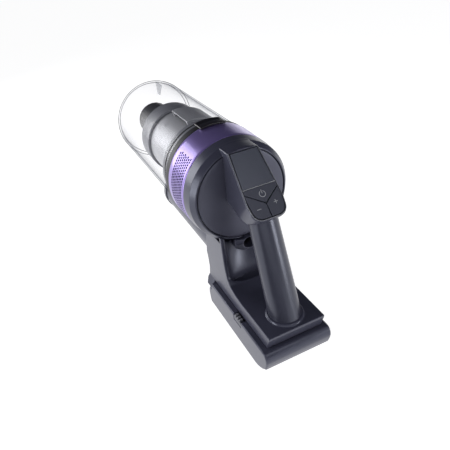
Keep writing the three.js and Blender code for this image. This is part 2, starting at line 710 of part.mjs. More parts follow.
// ---- battery ------------------------------------------------------------------------------
const batteryOutline = [
  [11.6, BATTERY_TOP_Z],
  [11.6, TOE_LOW_Z - 0.4],
  [17.6, TOE_LOW_Z - 0.6],
  [21, -131.5],
  [22.2, -138],
  [21.6, -146],
  [20.2, FOOT_Z],
  [-90, FOOT_Z],
  [-96, -151.4],
  [-104.5, -147.4],
  [-111.8, -141],
  [-114.8, -135],
  [-116.4, -129.4],
  [-116.2, -125.6],
  [-114.6, -122],
  [-111.6, -119.8],
  [-108.4, BATTERY_TOP_Z],
];
const batteryBlank = sidePrism(batteryOutline, -BATTERY_HALF, BATTERY_HALF, 3);
const ROOM_LOW_Z = FOOT_Z + BATTERY_WALL;
const roomOutline = [
  [15, -128],
  [15, ROOM_LOW_Z],
  [-95, ROOM_LOW_Z],
  [-101.5, -146.4],
  [-103.6, -141],
  [-103.6, -128],
];
const cellRoom = sidePrism(roomOutline, -33.6, 33.6);
const mouth = block(-MOUTH_HALF, MOUTH_HALF, MOUTH_REAR_Y, MOUTH_FRONT_Y, -129, -110);
const railRoom = block(-RAIL_HALF - 0.6, RAIL_HALF + 0.6, MOUTH_FRONT_Y - 1, 40, -124.6, -110);
const RELEASE_Y0 = RELEASE_Y - RELEASE_HALF_LENGTH;
const RELEASE_Y1 = RELEASE_Y + RELEASE_HALF_LENGTH;
const releasePockets = [-1, 1].map((side) => {
  const near = side * 30;
  const far = side * 40;
  const [x0, x1] = [Math.min(near, far), Math.max(near, far)];
  return block(x0, x1, RELEASE_Y0 - 0.4, RELEASE_Y1 + 0.4, -127, -110);
});
const caseParts = [batteryBlank, cellRoom, mouth, railRoom, ...releasePockets];
node('battery_case', wasm.Manifold.difference(caseParts), 'body_plastic');

const lidBlock = block(
  -MOUTH_HALF + GAP,
  MOUTH_HALF - GAP,
  MOUTH_REAR_Y + GAP,
  MOUTH_FRONT_Y - GAP,
  -127.6,
  BATTERY_TOP_Z,
);
function railGroove(railHalf, z0, z1) {
  const half = railHalf + 0.5;
  return block(-half, half, RAIL_REAR_Y - 0.6, RAIL_FRONT_Y + 20, z0, z1);
}
const grooveNeck = railGroove(RAIL_NECK_HALF, -124.5, -110);
const grooveHead = railGroove(RAIL_HALF, -124.5, -121.1);
const terminalBed = block(-6, 6, -12, 7, -126, -123);
const lidParts = [lidBlock, grooveNeck, grooveHead, terminalBed];
node('battery_lid', wasm.Manifold.difference(lidParts), 'black_plastic');
node('battery_terminal', block(-5.7, 5.7, -11.7, 6.7, -125.7, -124.4), 'copper');

const cellRow = [];
for (let i = 0; i < CELL_COUNT; i += 1) {
  const y = CELL_FIRST_Y + i * CELL_PITCH;
  node(`cell_${i + 1}`, rodX(CELL_R, -CELL_LENGTH / 2, CELL_LENGTH / 2, y, CELL_Z), 'cell_wrap');
  cellRow.push(rodX(CELL_R + 0.35, -40, 40, y, CELL_Z));
}
const saddle = block(-22, 22, -102, 14, -140, -129.9);
node('cell_saddle', wasm.Manifold.difference([saddle, ...cellRow]), 'amber_plastic');
node('battery_board', block(-25, 25, -98, 8, -129.6, -128.2), 'board_green');

// Release buttons: a flat key at each side of the battery, with three ribs on its top.
const RIB_COUNT = 3;
for (const [name, side] of [['left', -1], ['right', 1]]) {
  const outer = side * (BATTERY_HALF - GAP);
  const inner = side * 32.2;
  const [x0, x1] = [Math.min(inner, outer), Math.max(inner, outer)];
  let releaseKey = block(x0, x1, RELEASE_Y0, RELEASE_Y1, -126.6, -120.2);
  for (let i = 0; i < RIB_COUNT; i += 1) {
    const y = RELEASE_Y + (i - 1) * 5;
    releaseKey = releaseKey.add(block(x0, x1, y - 0.9, y + 0.9, -121, -119.1));
  }
  node(`release_button_${name}`, releaseKey, 'button_plastic');
}

export default unit;
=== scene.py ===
"""Looks of the hand-held unit of a cordless stick vacuum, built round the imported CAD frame.

Shapes are worked out in barrel millimetres: the origin is on the barrel's axis at the rear edge of
the exhaust ring, X to the right seen from behind, Y towards the bin and Z up. Moulded parts are
signed distance fields turned into quad meshes, turned parts are lathes, and the exhaust ring is a
lattice with real holes.
"""

import json
import math

import bmesh
import bpy
import numpy as np
from mathutils import Matrix, Vector


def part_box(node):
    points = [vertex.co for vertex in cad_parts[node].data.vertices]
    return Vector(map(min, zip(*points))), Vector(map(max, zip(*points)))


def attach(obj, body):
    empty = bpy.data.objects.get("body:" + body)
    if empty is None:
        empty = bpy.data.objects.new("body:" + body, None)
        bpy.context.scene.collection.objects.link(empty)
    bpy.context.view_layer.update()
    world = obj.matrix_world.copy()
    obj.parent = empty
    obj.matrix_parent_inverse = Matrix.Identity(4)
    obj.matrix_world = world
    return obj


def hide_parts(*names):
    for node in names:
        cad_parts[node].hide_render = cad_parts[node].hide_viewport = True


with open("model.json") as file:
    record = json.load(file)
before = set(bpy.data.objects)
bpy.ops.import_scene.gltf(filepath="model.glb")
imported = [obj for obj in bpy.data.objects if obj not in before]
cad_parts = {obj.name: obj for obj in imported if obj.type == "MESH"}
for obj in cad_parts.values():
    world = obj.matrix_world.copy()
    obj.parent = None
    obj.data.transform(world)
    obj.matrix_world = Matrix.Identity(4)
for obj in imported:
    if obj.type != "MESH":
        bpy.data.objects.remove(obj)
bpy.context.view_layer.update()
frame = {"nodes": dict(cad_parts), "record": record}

# ---- places that come from the frame ----
MM = 0.001
GAP = 0.3


def raw_box(node):
    return [np.array(corner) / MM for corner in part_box(node)]


ring_low, ring_high = raw_box("exhaust_ring")
ORIGIN = np.array([0.0, ring_low[1] - GAP, (ring_low[2] + ring_high[2]) / 2])


def box(node):
    """Lowest and highest corner of a CAD node in barrel millimetres."""
    return [corner - ORIGIN for corner in raw_box(node)]


def half_width(node):
    low, high = box(node)
    return (high[0] - low[0]) / 2


def y_range(node):
    low, high = box(node)
    return low[1], high[1]


# ---- signed distance fields, in millimetres ----
def length(*parts):
    return np.sqrt(sum(part * part for part in parts))


def fillet(corners, steps=5):
    """An outline of (u, v, radius) corners with each corner rounded to its radius."""
    outline = []
    count = len(corners)
    for i, (u, v, radius) in enumerate(corners):
        here = np.array([u, v])
        before = np.array(corners[i - 1][:2]) - here
        after = np.array(corners[(i + 1) % count][:2]) - here
        if radius == 0:
            outline.append((u, v))
            continue
        la, lb = np.linalg.norm(before), np.linalg.norm(after)
        before, after = before / la, after / lb
        half = math.acos(np.clip(before @ after, -1, 1)) / 2
        if half > math.radians(88):
            outline.append((u, v))
            continue
        reach = min(radius / math.tan(half), 0.49 * la, 0.49 * lb)
        radius = reach * math.tan(half)
        middle = (before + after) / np.linalg.norm(before + after)
        centre = here + middle * radius / math.sin(half)
        start, end = here + before * reach - centre, here + after * reach - centre
        turn = math.pi - 2 * half
        if start[0] * end[1] - start[1] * end[0] < 0:
            turn = -turn
        for k in range(steps + 1):
            angle = turn * k / steps
            c, s = math.cos(angle), math.sin(angle)
            u, v = centre[0] + c * start[0] - s * start[1], centre[1] + s * start[0] + c * start[1]
            outline.append((u, v))
    return outline


def polygon(u, v, outline):
    """Signed distance to a closed outline of (u, v) points."""
    best = np.inf
    inside = False
    for (au, av), (bu, bv) in zip(outline, outline[1:] + outline[:1]):
        eu, ev = bu - au, bv - av
        if eu * eu + ev * ev < 1e-12:
            continue
        wu, wv = u - au, v - av
        t = np.clip((wu * eu + wv * ev) / (eu * eu + ev * ev), 0, 1)
        best = np.minimum(best, (wu - t * eu) ** 2 + (wv - t * ev) ** 2)
        if ev != 0:
            inside = inside ^ (((av > v) != (bv > v)) & (wu < eu * wv / ev))
    return np.where(inside, -1.0, 1.0) * np.sqrt(best)


def union(a, b, soft=0.0):
    if not soft:
        return np.minimum(a, b)
    h = np.clip(0.5 + 0.5 * (b - a) / soft, 0, 1)
    return b * (1 - h) + a * h - soft * h * (1 - h)


def meet(a, b, soft=0.0):
    return -union(-a, -b, soft)


def cut(a, b, soft=0.0):
    return meet(a, -b, soft)


def extrude(flat, across, edge=0.0):
    """A flat outline's distance and the distance past its end faces, with rounded edges."""
    a, b = flat + edge, across + edge
    return np.minimum(np.maximum(a, b), 0) + length(np.maximum(a, 0), np.maximum(b, 0)) - edge


def slab(v, low, high):
    """Distance past a pair of planes."""
    return np.abs(v - (low + high) / 2) - (high - low) / 2


def rounded_box(x, y, z, x0, x1, y0, y1, z0, z1, edge=0.0):
    sides = [slab(x, x0, x1) + edge, slab(y, y0, y1) + edge, slab(z, z0, z1) + edge]
    outside = length(*[np.maximum(side, 0) for side in sides])
    return outside + np.minimum(np.maximum(np.maximum(sides[0], sides[1]), sides[2]), 0) - edge


def chamfered(a, b, width):
    """The part inside both a and b, with their edge cut off at 45 degrees."""
    return np.maximum(np.maximum(a, b), (a + b + width) / math.sqrt(2))


# ---- meshes ----
CORNERS = np.array([[i, j, k] for i in (0, 1) for j in (0, 1) for k in (0, 1)])
CELL_EDGES = [
    (a, b) for a in range(8) for b in range(a + 1, 8) if abs(CORNERS[a] - CORNERS[b]).sum() == 1
]


def slope(field, points, reach):
    """The gradient of a field at an (n, 3) array of points."""
    rows = []
    for axis in range(3):
        step = np.zeros(3)
        step[axis] = reach
        ahead, behind = points + step, points - step
        rows.append((field(*ahead.T) - field(*behind.T)) / (2 * reach))
    return np.stack(rows, axis=1)


def surface_net(field, low, high, step):
    """Quads that follow the surface field(x, y, z) = 0, their corners and their normals."""
    axes = [np.arange(a - 1.6 * step, b + 1.6 * step, step) for a, b in zip(low, high)]
    sizes = [len(axis) for axis in axes]
    grid = np.meshgrid(*axes, indexing="ij", sparse=True)
    values = np.broadcast_to(field(*grid), sizes)
    inside = values < 0
    shape = [n - 1 for n in sizes]
    total = np.zeros(shape, np.int8)
    for i, j, k in CORNERS:
        total += inside[i : i + shape[0], j : j + shape[1], k : k + shape[2]]
    cells = np.argwhere((total > 0) & (total < 8))
    number = np.full(shape, -1)
    number[tuple(cells.T)] = np.arange(len(cells))
    corner_values = np.stack([values[tuple((cells + c).T)] for c in CORNERS], axis=1)
    place, hits = np.zeros((len(cells), 3)), np.zeros(len(cells))
    for a, b in CELL_EDGES:
        va, vb = corner_values[:, a], corner_values[:, b]
        crosses = (va < 0) != (vb < 0)
        share = va / np.where(crosses, va - vb, 1)
        point = CORNERS[a] + share[:, None] * (CORNERS[b] - CORNERS[a])
        place += np.where(crosses[:, None], point, 0)
        hits += crosses
    start = np.array([axis[0] for axis in axes])
    points = start + step * (cells + place / hits[:, None])
    for _ in range(3):
        normals = slope(field, points, 0.08 * step)
        shift = field(*points.T)[:, None] * normals / np.maximum((normals**2).sum(1), 0.25)[:, None]
        points -= np.clip(shift, -step, step)
    faces = []
    for axis in range(3):
        e, f = (axis + 1) % 3, (axis + 2) % 3
        near = [slice(1, -1)] * 3
        near[axis] = slice(0, -1)
        far = list(near)
        far[axis] = slice(1, None)
        here, there = inside[tuple(near)], inside[tuple(far)]
        for mask, turned in ((here & ~there, False), (~here & there, True)):
            at = np.argwhere(mask)
            at[:, e] += 1
            at[:, f] += 1
            loop = []
            for de, df in ((-1, -1), (0, -1), (0, 0), (-1, 0)):
                cell = at.copy()
                cell[:, e] += de
                cell[:, f] += df
                loop.append(number[tuple(cell.T)])
            quads = np.stack(loop, axis=1)
            faces.append(quads[:, ::-1] if turned else quads)
    normals = slope(field, points, 0.2 * step)
    normals /= np.maximum(np.linalg.norm(normals, axis=1), 1e-9)[:, None]
    return points, np.concatenate(faces), normals


def weld(loops):
    """Corners and faces of loops of 3-D points, with points that coincide joined."""
    numbers, corners, faces = {}, [], []
    for loop in loops:
        face = []
        for point in loop:
            key = tuple(round(c * 1e4) for c in point)
            if key not in numbers:
                numbers[key] = len(corners)
                corners.append(point)
            if numbers[key] not in face:
                face.append(numbers[key])
        if len(face) > 2:
            faces.append(face)
    return corners, faces


def linked(name, data):
    made = bpy.data.objects.new(name, data)
    bpy.context.scene.collection.objects.link(made)
    return made


def new_object(name, corners, faces, normals=None, sharp=None, outward=False):
    mesh = bpy.data.meshes.new(name)
    placed = (np.array(corners, float) + ORIGIN) * MM
    mesh.from_pydata(placed.tolist(), [], [list(map(int, face)) for face in faces])
    mesh.shade_smooth()
    if outward:
        turn_outward(mesh)
    if sharp is not None:
        mesh.set_sharp_from_angle(angle=math.radians(sharp))
    if normals is not None:
        mesh.normals_split_custom_set_from_vertices(normals.tolist())
    return linked(name, mesh)


def turn_outward(mesh):
    work = bmesh.new()
    work.from_mesh(mesh)
    bmesh.ops.recalc_face_normals(work, faces=work.faces)
    work.to_mesh(mesh)
    work.free()


def moulded(name, field, low, high, step):
    points, faces, normals = surface_net(field, low, high, step)
    return new_object(name, points, faces, normals)


def on_barrel(radius, angle, y, axis_z=0.0):
    """A point at an angle from the top, clockwise seen from behind."""
    return (radius * math.sin(angle), y, axis_z + radius * math.cos(angle))


def lathe(name, corners, segments=128, axis_z=0.0, sharp=32, arc_steps=5):
    """A closed outline of (radius, y, fillet) corners turned round an axis along Y."""
    outline = fillet(corners, arc_steps)
    loops = []
    for (ra, ya), (rb, yb) in zip(outline, outline[1:] + outline[:1]):
        if ra < 1e-6 and rb < 1e-6:
            continue
        for k in range(segments):
            t0, t1 = 2 * math.pi * k / segments, 2 * math.pi * ((k + 1) % segments) / segments
            square = [(ra, t0, ya), (rb, t0, yb), (rb, t1, yb), (ra, t1, ya)]
            loops.append([on_barrel(*point, axis_z) for point in square])
    corners_3d, faces = weld(loops)
    return new_object(name, corners_3d, faces, sharp=sharp, outward=True)


def piece(made, body, material, replaces=()):
    """Dresses a finished mesh: gives it its look, hangs it on the body it rides on and hides the
    CAD nodes it stands for.
    """
    made.data.materials.clear()
    made.data.materials.append(MATERIALS[material])
    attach(made, body)
    if replaces:
        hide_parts(*replaces)
    return made


# ---- materials ----
def new_material(name):
    """A material, its node tree, its main shader and the coordinates its textures use."""
    material = bpy.data.materials.new(name)
    material.use_nodes = True
    tree = material.node_tree
    place = tree.nodes.new("ShaderNodeTexCoord")
    return material, tree, tree.nodes["Principled BSDF"], place.outputs["Object"]


def feed(tree, node, inputs):
    """Sets each named input of a node: a socket is linked to it, a value becomes its own."""
    for key, value in inputs.items():
        if isinstance(value, bpy.types.NodeSocket):
            tree.links.new(value, node.inputs[key])
        else:
            node.inputs[key].default_value = value


def add(tree, kind, inputs):
    node = tree.nodes.new("ShaderNode" + kind)
    feed(tree, node, inputs)
    return node


def noise(tree, coords, size_mm, detail=2.0, stretch=None):
    """A noise texture whose patches are about size_mm across."""
    if stretch is not None:
        coords = add(tree, "Mapping", {"Scale": stretch, "Vector": coords}).outputs["Vector"]
    inputs = {"Scale": 1 / (size_mm * MM), "Detail": detail, "Vector": coords}
    return add(tree, "TexNoise", inputs).outputs["Fac"]


def ranged(tree, value, low, high, from_low=0.3, from_high=0.7):
    inputs = {
        "From Min": from_low, "From Max": from_high, "To Min": low, "To Max": high, "Value": value
    }
    return add(tree, "MapRange", inputs).outputs["Result"]


def tint(tree, value, first, second):
    mix = tree.nodes.new("ShaderNodeMix")
    mix.data_type = "RGBA"
    feed(tree, mix, {"A": (*first, 1), "B": (*second, 1), "Factor": value})
    return mix.outputs["Result"]


def bumped(tree, value, depth_mm):
    bump = add(tree, "Bump", {"Distance": depth_mm * MM, "Strength": 1.0, "Height": value})
    return bump.outputs["Normal"]


def shade(colour, factor):
    return tuple(min(1.0, c * factor) for c in colour)


def surface_look(name, colour, roughness, metallic=0.0, grain_mm=0.35, depth_mm=0.006,
                 mottle=0.06, coat=0.0, specular=0.5, stretch=None, tinge=(1, 1, 1)):
    """A moulded, painted or turned surface: mottled colour, uneven roughness and fine grain."""
    material, tree, bsdf, coords = new_material(name)
    patches = ranged(tree, noise(tree, coords, 18, 3), 0, 1)
    spots = noise(tree, coords, 3.0)
    grain = noise(tree, coords, grain_mm, 2.0, stretch)
    feed(tree, bsdf, {
        "Base Color": tint(tree, patches, shade(colour, 1 - mottle), shade(colour, 1 + mottle)),
        "Roughness": ranged(tree, spots, 0.96 * roughness, 1.04 * roughness),
        "Metallic": metallic,
        "Specular IOR Level": specular,
        "Coat Weight": coat,
        "Coat Roughness": 0.08,
        "Specular Tint": (*tinge, 1),
        "Normal": bumped(tree, grain, depth_mm),
    })
    return material


def see_through(tree, bsdf, colour, mirror, share):
    """Puts a transparent shader with a share of a glossy one on the surface."""
    tree.nodes.remove(bsdf)
    through = add(tree, "BsdfTransparent", {"Color": colour})
    gloss = add(tree, "BsdfGlossy", mirror)
    both = add(tree, "MixShader", {0: share, 1: through.outputs[0], 2: gloss.outputs[0]})
    feed(tree, tree.nodes["Material Output"], {"Surface": both.outputs[0]})


def raised(tree, value, exponent):
    power = tree.nodes.new("ShaderNodeMath")
    power.operation = "POWER"
    feed(tree, power, {0: value, 1: exponent})
    return power.outputs[0]


def clear_look(name, edge_tint):
    """Clear moulded plastic: it lets the view through and mirrors more at grazing angles."""
    material, tree, bsdf, coords = new_material(name)
    grazing = add(tree, "LayerWeight", {"Blend": 0.5}).outputs["Facing"]
    body = tint(tree, raised(tree, grazing, 11.0), (0.995, 0.995, 0.998), edge_tint)
    haze = ranged(tree, noise(tree, coords, 25), 0.03, 0.07)
    share = ranged(tree, raised(tree, grazing, 5.0), 0.008, 0.05, 0, 1)
    see_through(tree, bsdf, body, {"Color": (0.95, 0.95, 0.97, 1), "Roughness": haze}, share)
    return material


def edge_look(name, colour):
    """The thick corner of a clear moulding, which bends the light away and looks grey."""
    material, tree, bsdf, coords = new_material(name)
    patches = ranged(tree, noise(tree, coords, 12), 0, 1)
    body = tint(tree, patches, shade(colour, 0.92), colour)
    see_through(tree, bsdf, body, {"Roughness": 0.12}, 0.06)
    return material


def board_look(name):
    """Green solder mask with paler copper tracks under it."""
    material, tree, bsdf, coords = new_material(name)
    tracks = add(tree, "TexBrick", {
        "Color1": (0.012, 0.075, 0.035, 1),
        "Color2": (0.016, 0.095, 0.045, 1),
        "Mortar": (0.05, 0.2, 0.09, 1),
        "Scale": 90,
        "Mortar Size": 0.03,
        "Vector": coords,
    })
    relief = bumped(tree, tracks.outputs["Fac"], 0.04)
    green = tracks.outputs["Color"]
    feed(tree, bsdf, {"Base Color": green, "Roughness": 0.45, "Normal": relief})
    return material


def felt_look(name, colour):
    material, tree, bsdf, coords = new_material(name)
    fibres = noise(tree, coords, 0.8, 6.0, (1, 3, 1))
    mixed = tint(tree, ranged(tree, fibres, 0, 1), shade(colour, 0.8), colour)
    relief = bumped(tree, fibres, 0.2)
    feed(tree, bsdf, {
        "Base Color": mixed, "Roughness": 0.95, "Sheen Weight": 0.4, "Normal": relief
    })
    return material


BODY = (0.046, 0.047, 0.072)
COOL = (0.80, 0.84, 1.0)  # tinge of the dark plastics' gloss
SURFACES = {
    "body_plastic": (BODY, 0.29, dict(depth_mm=0.003, specular=0.62, tinge=COOL)),
    "purple_shell": (
        (0.29, 0.22, 0.55), 0.34,
        dict(metallic=0.72, grain_mm=0.2, depth_mm=0.004, mottle=0.03, coat=0.25),
    ),
    # The body's plastic made paler: painted light for the brighter light the rear cover catches.
    "cover_lit_plastic": ((0.075, 0.076, 0.108), 0.34, dict(depth_mm=0.003, specular=0.6, tinge=COOL)),
    "black_plastic": ((0.012, 0.012, 0.015), 0.5, dict()),
    # Black with no gloss at all: painted shade for the vent holes.
    "vent_painted_shade": ((0.006, 0.005, 0.010), 0.9, dict(specular=0.0)),
    # The body's plastic made darker: painted shade that deepens the dark bands down the grip.
    "grip_shaded_plastic": ((0.030, 0.031, 0.048), 0.29, dict(depth_mm=0.003, specular=0.72, tinge=COOL)),
    "black_gloss": ((0.010, 0.009, 0.012), 0.3, dict(depth_mm=0.002, coat=0.12, specular=0.35)),
    "silver_shell": (
        (0.45, 0.455, 0.48), 0.46,
        dict(metallic=0.35, grain_mm=0.3, depth_mm=0.0008, mottle=0.03),
    ),
    "grey_plastic": ((0.20, 0.205, 0.23), 0.38, dict()),
    "dark_plastic": ((0.040, 0.040, 0.046), 0.36, dict()),
    "screen_glass": (
        (0.062, 0.067, 0.088), 0.22,
        dict(grain_mm=0.15, depth_mm=0.002, mottle=0.03, tinge=COOL),
    ),
    "key_plastic": ((0.047, 0.049, 0.067), 0.36, dict(depth_mm=0.004, tinge=COOL)),
    "mark_grey": ((0.42, 0.43, 0.46), 0.5, dict(depth_mm=0.001)),
    # Paler grey: painted highlight on the panel's rim.
    "rim_highlight_grey": ((0.15, 0.155, 0.18), 0.3, dict(depth_mm=0.001)),
    "rubber": ((0.012, 0.012, 0.013), 0.8, dict(depth_mm=0.01)),
    "steel": ((0.45, 0.46, 0.48), 0.3, dict(metallic=1.0, stretch=(1, 0.05, 1), mottle=0.05)),
    "light_metal": ((0.62, 0.63, 0.65), 0.35, dict(metallic=1.0, stretch=(1, 0.05, 1))),
    "contact_brass": ((0.62, 0.42, 0.16), 0.3, dict(metallic=1.0)),
    "cell_body": ((0.03, 0.13, 0.36), 0.35, dict(mottle=0.04)),
    "natural_plastic": ((0.52, 0.43, 0.25), 0.5, dict()),
}
MATERIALS = {
    name: surface_look(name, colour, roughness, **extra)
    for name, (colour, roughness, extra) in SURFACES.items()
}
MATERIALS.update(
    circuit_board=board_look("circuit_board"),
    filter_felt=felt_look("filter_felt", (0.62, 0.62, 0.58)),
    dark_felt=felt_look("dark_felt", (0.008, 0.008, 0.010)),
    clear_plastic=clear_look("clear_plastic", (0.30, 0.31, 0.34)),
    clear_rib=edge_look("clear_rib", (0.80, 0.805, 0.82)),
    clear_edge=edge_look("clear_edge", (0.50, 0.505, 0.525)),
)
OWN_LOOKS = {"exhaust_filter": "dark_felt"}


def dress_cad_nodes():
    """Every CAD node gets the finished material of its slot, or one of its own."""
    for entry in frame["record"]["subparts"]:
        mesh = frame["nodes"][entry["node"]].data
        mesh.materials.clear()
        mesh.materials.append(MATERIALS[OWN_LOOKS.get(entry["node"], entry["material_slot"])])


# ---- motor barrel ----
RING_REAR_R, RING_FRONT_R = 55.2, half_width("exhaust_ring")
RING_Y0, RING_Y1 = y_range("exhaust_ring")
VENT_Y0, VENT_Y1 = 4.6, 32.0
VENT_COLUMNS = 8
VENT_HALF_STEPS = 236  # half a hole pitch each, round the whole ring
VENT_FROM, VENT_TO = math.radians(42), math.radians(137)
HOLE_HALF_Y, HOLE_HALF_A, HOLE_CORNER = 1.2, 1.12, 0.45
RING_WALL = 0.35


def exhaust_ring():
    """The purple ring with staggered columns of rounded square holes on both sides."""
    step = 2 * math.pi / VENT_HALF_STEPS
    column = (VENT_Y1 - VENT_Y0) / VENT_COLUMNS
    rows = [RING_Y0, RING_Y0 + 0.25, RING_Y0 + 0.8]
    rows += [VENT_Y0 + column * k for k in range(VENT_COLUMNS + 1)]
    rows += [36.0, RING_Y1 - 0.8, RING_Y1 - 0.25, RING_Y1]
    first_column = 3

    def outer(y):
        radius = RING_REAR_R + (RING_FRONT_R - RING_REAR_R) * (y - RING_Y0) / (RING_Y1 - RING_Y0)
        edge = min(y - RING_Y0, RING_Y1 - y)
        return radius - max(0.0, 0.8 - edge) ** 2 * 0.9

    def inner(y):
        return outer(y) - RING_WALL

    def starts_hole(k, column_number):
        angle = abs((k + 1) * step if k < VENT_HALF_STEPS / 2 else (k + 1 - VENT_HALF_STEPS) * step)
        if column_number not in range(VENT_COLUMNS):
            return False
        return k % 2 == column_number % 2 and VENT_FROM + step < angle < VENT_TO - step

    loops = []

    def both_faces(points):
        loops.append([on_barrel(outer(y), a * step, y) for a, y in points])
        loops.append([on_barrel(inner(y), a * step, y) for a, y in reversed(points)])

    def wall(first, second):
        """The face through the ring's thickness between two (angle step, y) points."""
        (a0, p0), (a1, p1) = first, second
        loops.append(
            [
                on_barrel(outer(p0), a0 * step, p0), on_barrel(outer(p1), a1 * step, p1),
                on_barrel(inner(p1), a1 * step, p1), on_barrel(inner(p0), a0 * step, p0),
            ]
        )

    def hole(k, y0, y1):
        a, y = k + 1, (y0 + y1) / 2
        ha = HOLE_HALF_A / (RING_FRONT_R * step)
        ca = HOLE_CORNER / (RING_FRONT_R * step)
        hy, cy = HOLE_HALF_Y, HOLE_CORNER
        rim = [
            (a, y - hy), (a + ha - ca, y - hy), (a + ha, y - hy + cy), (a + ha, y + hy - cy),
            (a + ha - ca, y + hy), (a, y + hy), (a - ha + ca, y + hy), (a - ha, y + hy - cy),
            (a - ha, y - hy + cy), (a - ha + ca, y - hy),
        ]
        # The cell's corners and edge middles, each with the rim points that face it.
        frame_points = [(k + 1, y0), (k + 2, y0), (k + 2, y1), (k + 1, y1), (k, y1), (k, y0)]
        facing = [(0,), (1, 2), (3, 4), (5,), (6, 7), (8, 9)]
        for i, (point, near) in enumerate(zip(frame_points, facing)):
            if len(near) == 2:
                both_faces([point, rim[near[1]], rim[near[0]]])
            following = facing[(i + 1) % 6][0]
            both_faces([point, frame_points[(i + 1) % 6], rim[following], rim[near[-1]]])
        for first, second in zip(rim, rim[1:] + rim[:1]):
            wall(first, second)

    for row, (y0, y1) in enumerate(zip(rows, rows[1:])):
        k = 0
        while k < VENT_HALF_STEPS:
            if starts_hole(k, row - first_column):
                hole(k, y0, y1)
                k += 2
            else:
                both_faces([(k, y0), (k + 1, y0), (k + 1, y1), (k, y1)])
                k += 1
    for y in (rows[0], rows[-1]):
        for k in range(VENT_HALF_STEPS):
            wall((k, y), (k + 1, y))
    corners, faces = weld(loops)
    made = new_object("vent_ring", corners, faces, sharp=35, outward=True)
    piece(made, "main_unit", "purple_shell", replaces=["exhaust_ring"])
    # A black, glossless sheet behind the holes: painted shade, so the holes read dark.
    first, last = VENT_Y0 - 1, VENT_Y1 + 1
    skin = RING_WALL + 0.9
    liner = lathe(
        "vent_shade_liner",
        [
            (inner(first) - 2, first, 0), (outer(first) - skin, first, 0),
            (outer(last) - skin, last, 0), (inner(last) - 2, last, 0),
        ],
        segments=144,
    )
    piece(liner, "main_unit", "vent_painted_shade")


PANEL_TOP = np.array([0.0, -30.0, 53.6])
PANEL_RIM = 1.6
HEAD_HALF_TOP, HEAD_HALF_LOW = 15.9, 18.9
PANEL_TIP = 70.5  # distance down the slope to the end of the round tip
TIP_ROUND = 17.5
HOOD_R = 54.0
POCKET_DEPTH = 7.5


def panel_outline(inset, top):
    """The control panel's outline: sides that widen downwards to a round tip."""
    half, low, end = HEAD_HALF_TOP - inset, HEAD_HALF_LOW - inset, PANEL_TIP - inset
    start = max(top, 0.0) + 0.01
    side = [
        (half, top, 0), (half, start, 0), (low, PANEL_TIP - 17, 20),
        (low - 2, end, TIP_ROUND - inset),
    ]
    other = [(-across, down, radius) for across, down, radius in reversed(side)]
    return fillet(side + other, 10)


def on_panel(across, down, height):
    """The place of a point given in the panel's own frame."""
    drop, lift = down / math.sqrt(2), height / math.sqrt(2)
    return across, PANEL_TOP[1] - drop - lift, PANEL_TOP[2] - drop + lift


def panel_coordinates(x, y, z):
    """Across, distance down the slope, and height out of the control panel."""
    back, up = y - PANEL_TOP[1], z - PANEL_TOP[2]
    return x, -(back + up) / math.sqrt(2), (up - back) / math.sqrt(2)


HOUSING_PROFILE = fillet(
    [
        (47.2, 5, 0), (47.2, -13.6, 0), (44, -13.6, 0), (44, -16.1, 0), (48.2, -16.1, 0),
        (48.2, -19.2, 0.5), (49.6, -19.3, 1.6), (53.9, -12.9, 1.8), (RING_REAR_R, -1.0, 8),
        (RING_REAR_R, -0.1, 0.3), (49.2, 0, 0), (49.2, 5, 0),
    ]
)
BELLY = fillet(
    [
        (-10, 90, 0), (-10, -2, 0), (-30, -3, 6), (-46.5, -6.5, 6), (-60, -8.0, 3),
        (-76.0, -2.5, 3), (-81.6, 3.4, 1.5), (-130, 60, 0),
    ]
)
HEAD_OUTLINE = panel_outline(0, -40)
POCKET_OUTLINE = panel_outline(PANEL_RIM, 1.7)


def rear_shell_field(x, y, z):
    radius = length(x, z)
    housing = polygon(radius, y, HOUSING_PROFILE)
    across, down, height = panel_coordinates(x, y, z)
    walls = polygon(across, down, HEAD_OUTLINE)
    belly = polygon(y, z, BELLY)
    head = meet(walls, belly, 2.5)
    head = chamfered(head, height, 1.9)
    head = chamfered(head, radius - HOOD_R, 0.4)
    behind_cover = extrude(radius - 48.0, slab(y, -19.5, 8.0))
    head = cut(head, behind_cover)
    shell = union(housing, head, 0.6)
    socket_notch = extrude(length(x, z - SOCKET_Z) - 7.9, slab(y, -40, -9))
    shell = cut(shell, socket_notch)
    pocket = extrude(polygon(across, down, POCKET_OUTLINE), slab(height, -POCKET_DEPTH, 9))
    shell = cut(shell, pocket, 0.5)
    lead_hole = rounded_box(x, y, z, -5, 5, -68, -56, -20, 14)
    return cut(shell, lead_hole)


def rear_shell():
    made = moulded("rear_shell", rear_shell_field, (-55.4, -82, -55.4), (55.4, 5, 55.4), 0.75)
    piece(made, "main_unit", "body_plastic", replaces=["rear_housing", "control_head"])


def rear_cover():
    y0, y1 = y_range("rear_cover")
    radius = half_width("rear_cover")
    profile = [
        (6, y1, 0), (6, y0 + 0.5, 0.3), (radius - 3, y0 + 0.1, 20), (radius - 0.1, y0 + 0.35, 0.5),
        (radius - 0.1, y1, 0),
    ]
    made = lathe("cover_disc", profile)
    # The cover's paler colour is painted light.
    piece(made, "main_unit", "cover_lit_plastic", ["rear_cover"])


# ---- control panel ----
SCREEN_TOP, SCREEN_END = 2.4, 38.4
SPLIT_START, SPLIT_MEET = 43.0, 55.4
SCREEN_HALF_TOP, SCREEN_HALF_LOW = 13.9, 16.5
SPLIT_HALF = 17.4


def panel_piece(name, outline, low, high, edge, step, body, material, replaces=()):
    """A plate in the panel's own frame, from height low to height high."""

    def field(x, y, z):
        across, down, height = panel_coordinates(x, y, z)
        return extrude(polygon(across, down, outline), slab(height, low, high), edge)

    corners = np.array([on_panel(*point, height) for point in outline for height in (low, high)])
    made = moulded(name, field, corners.min(0), corners.max(0), step)
    return piece(made, body, material, replaces)


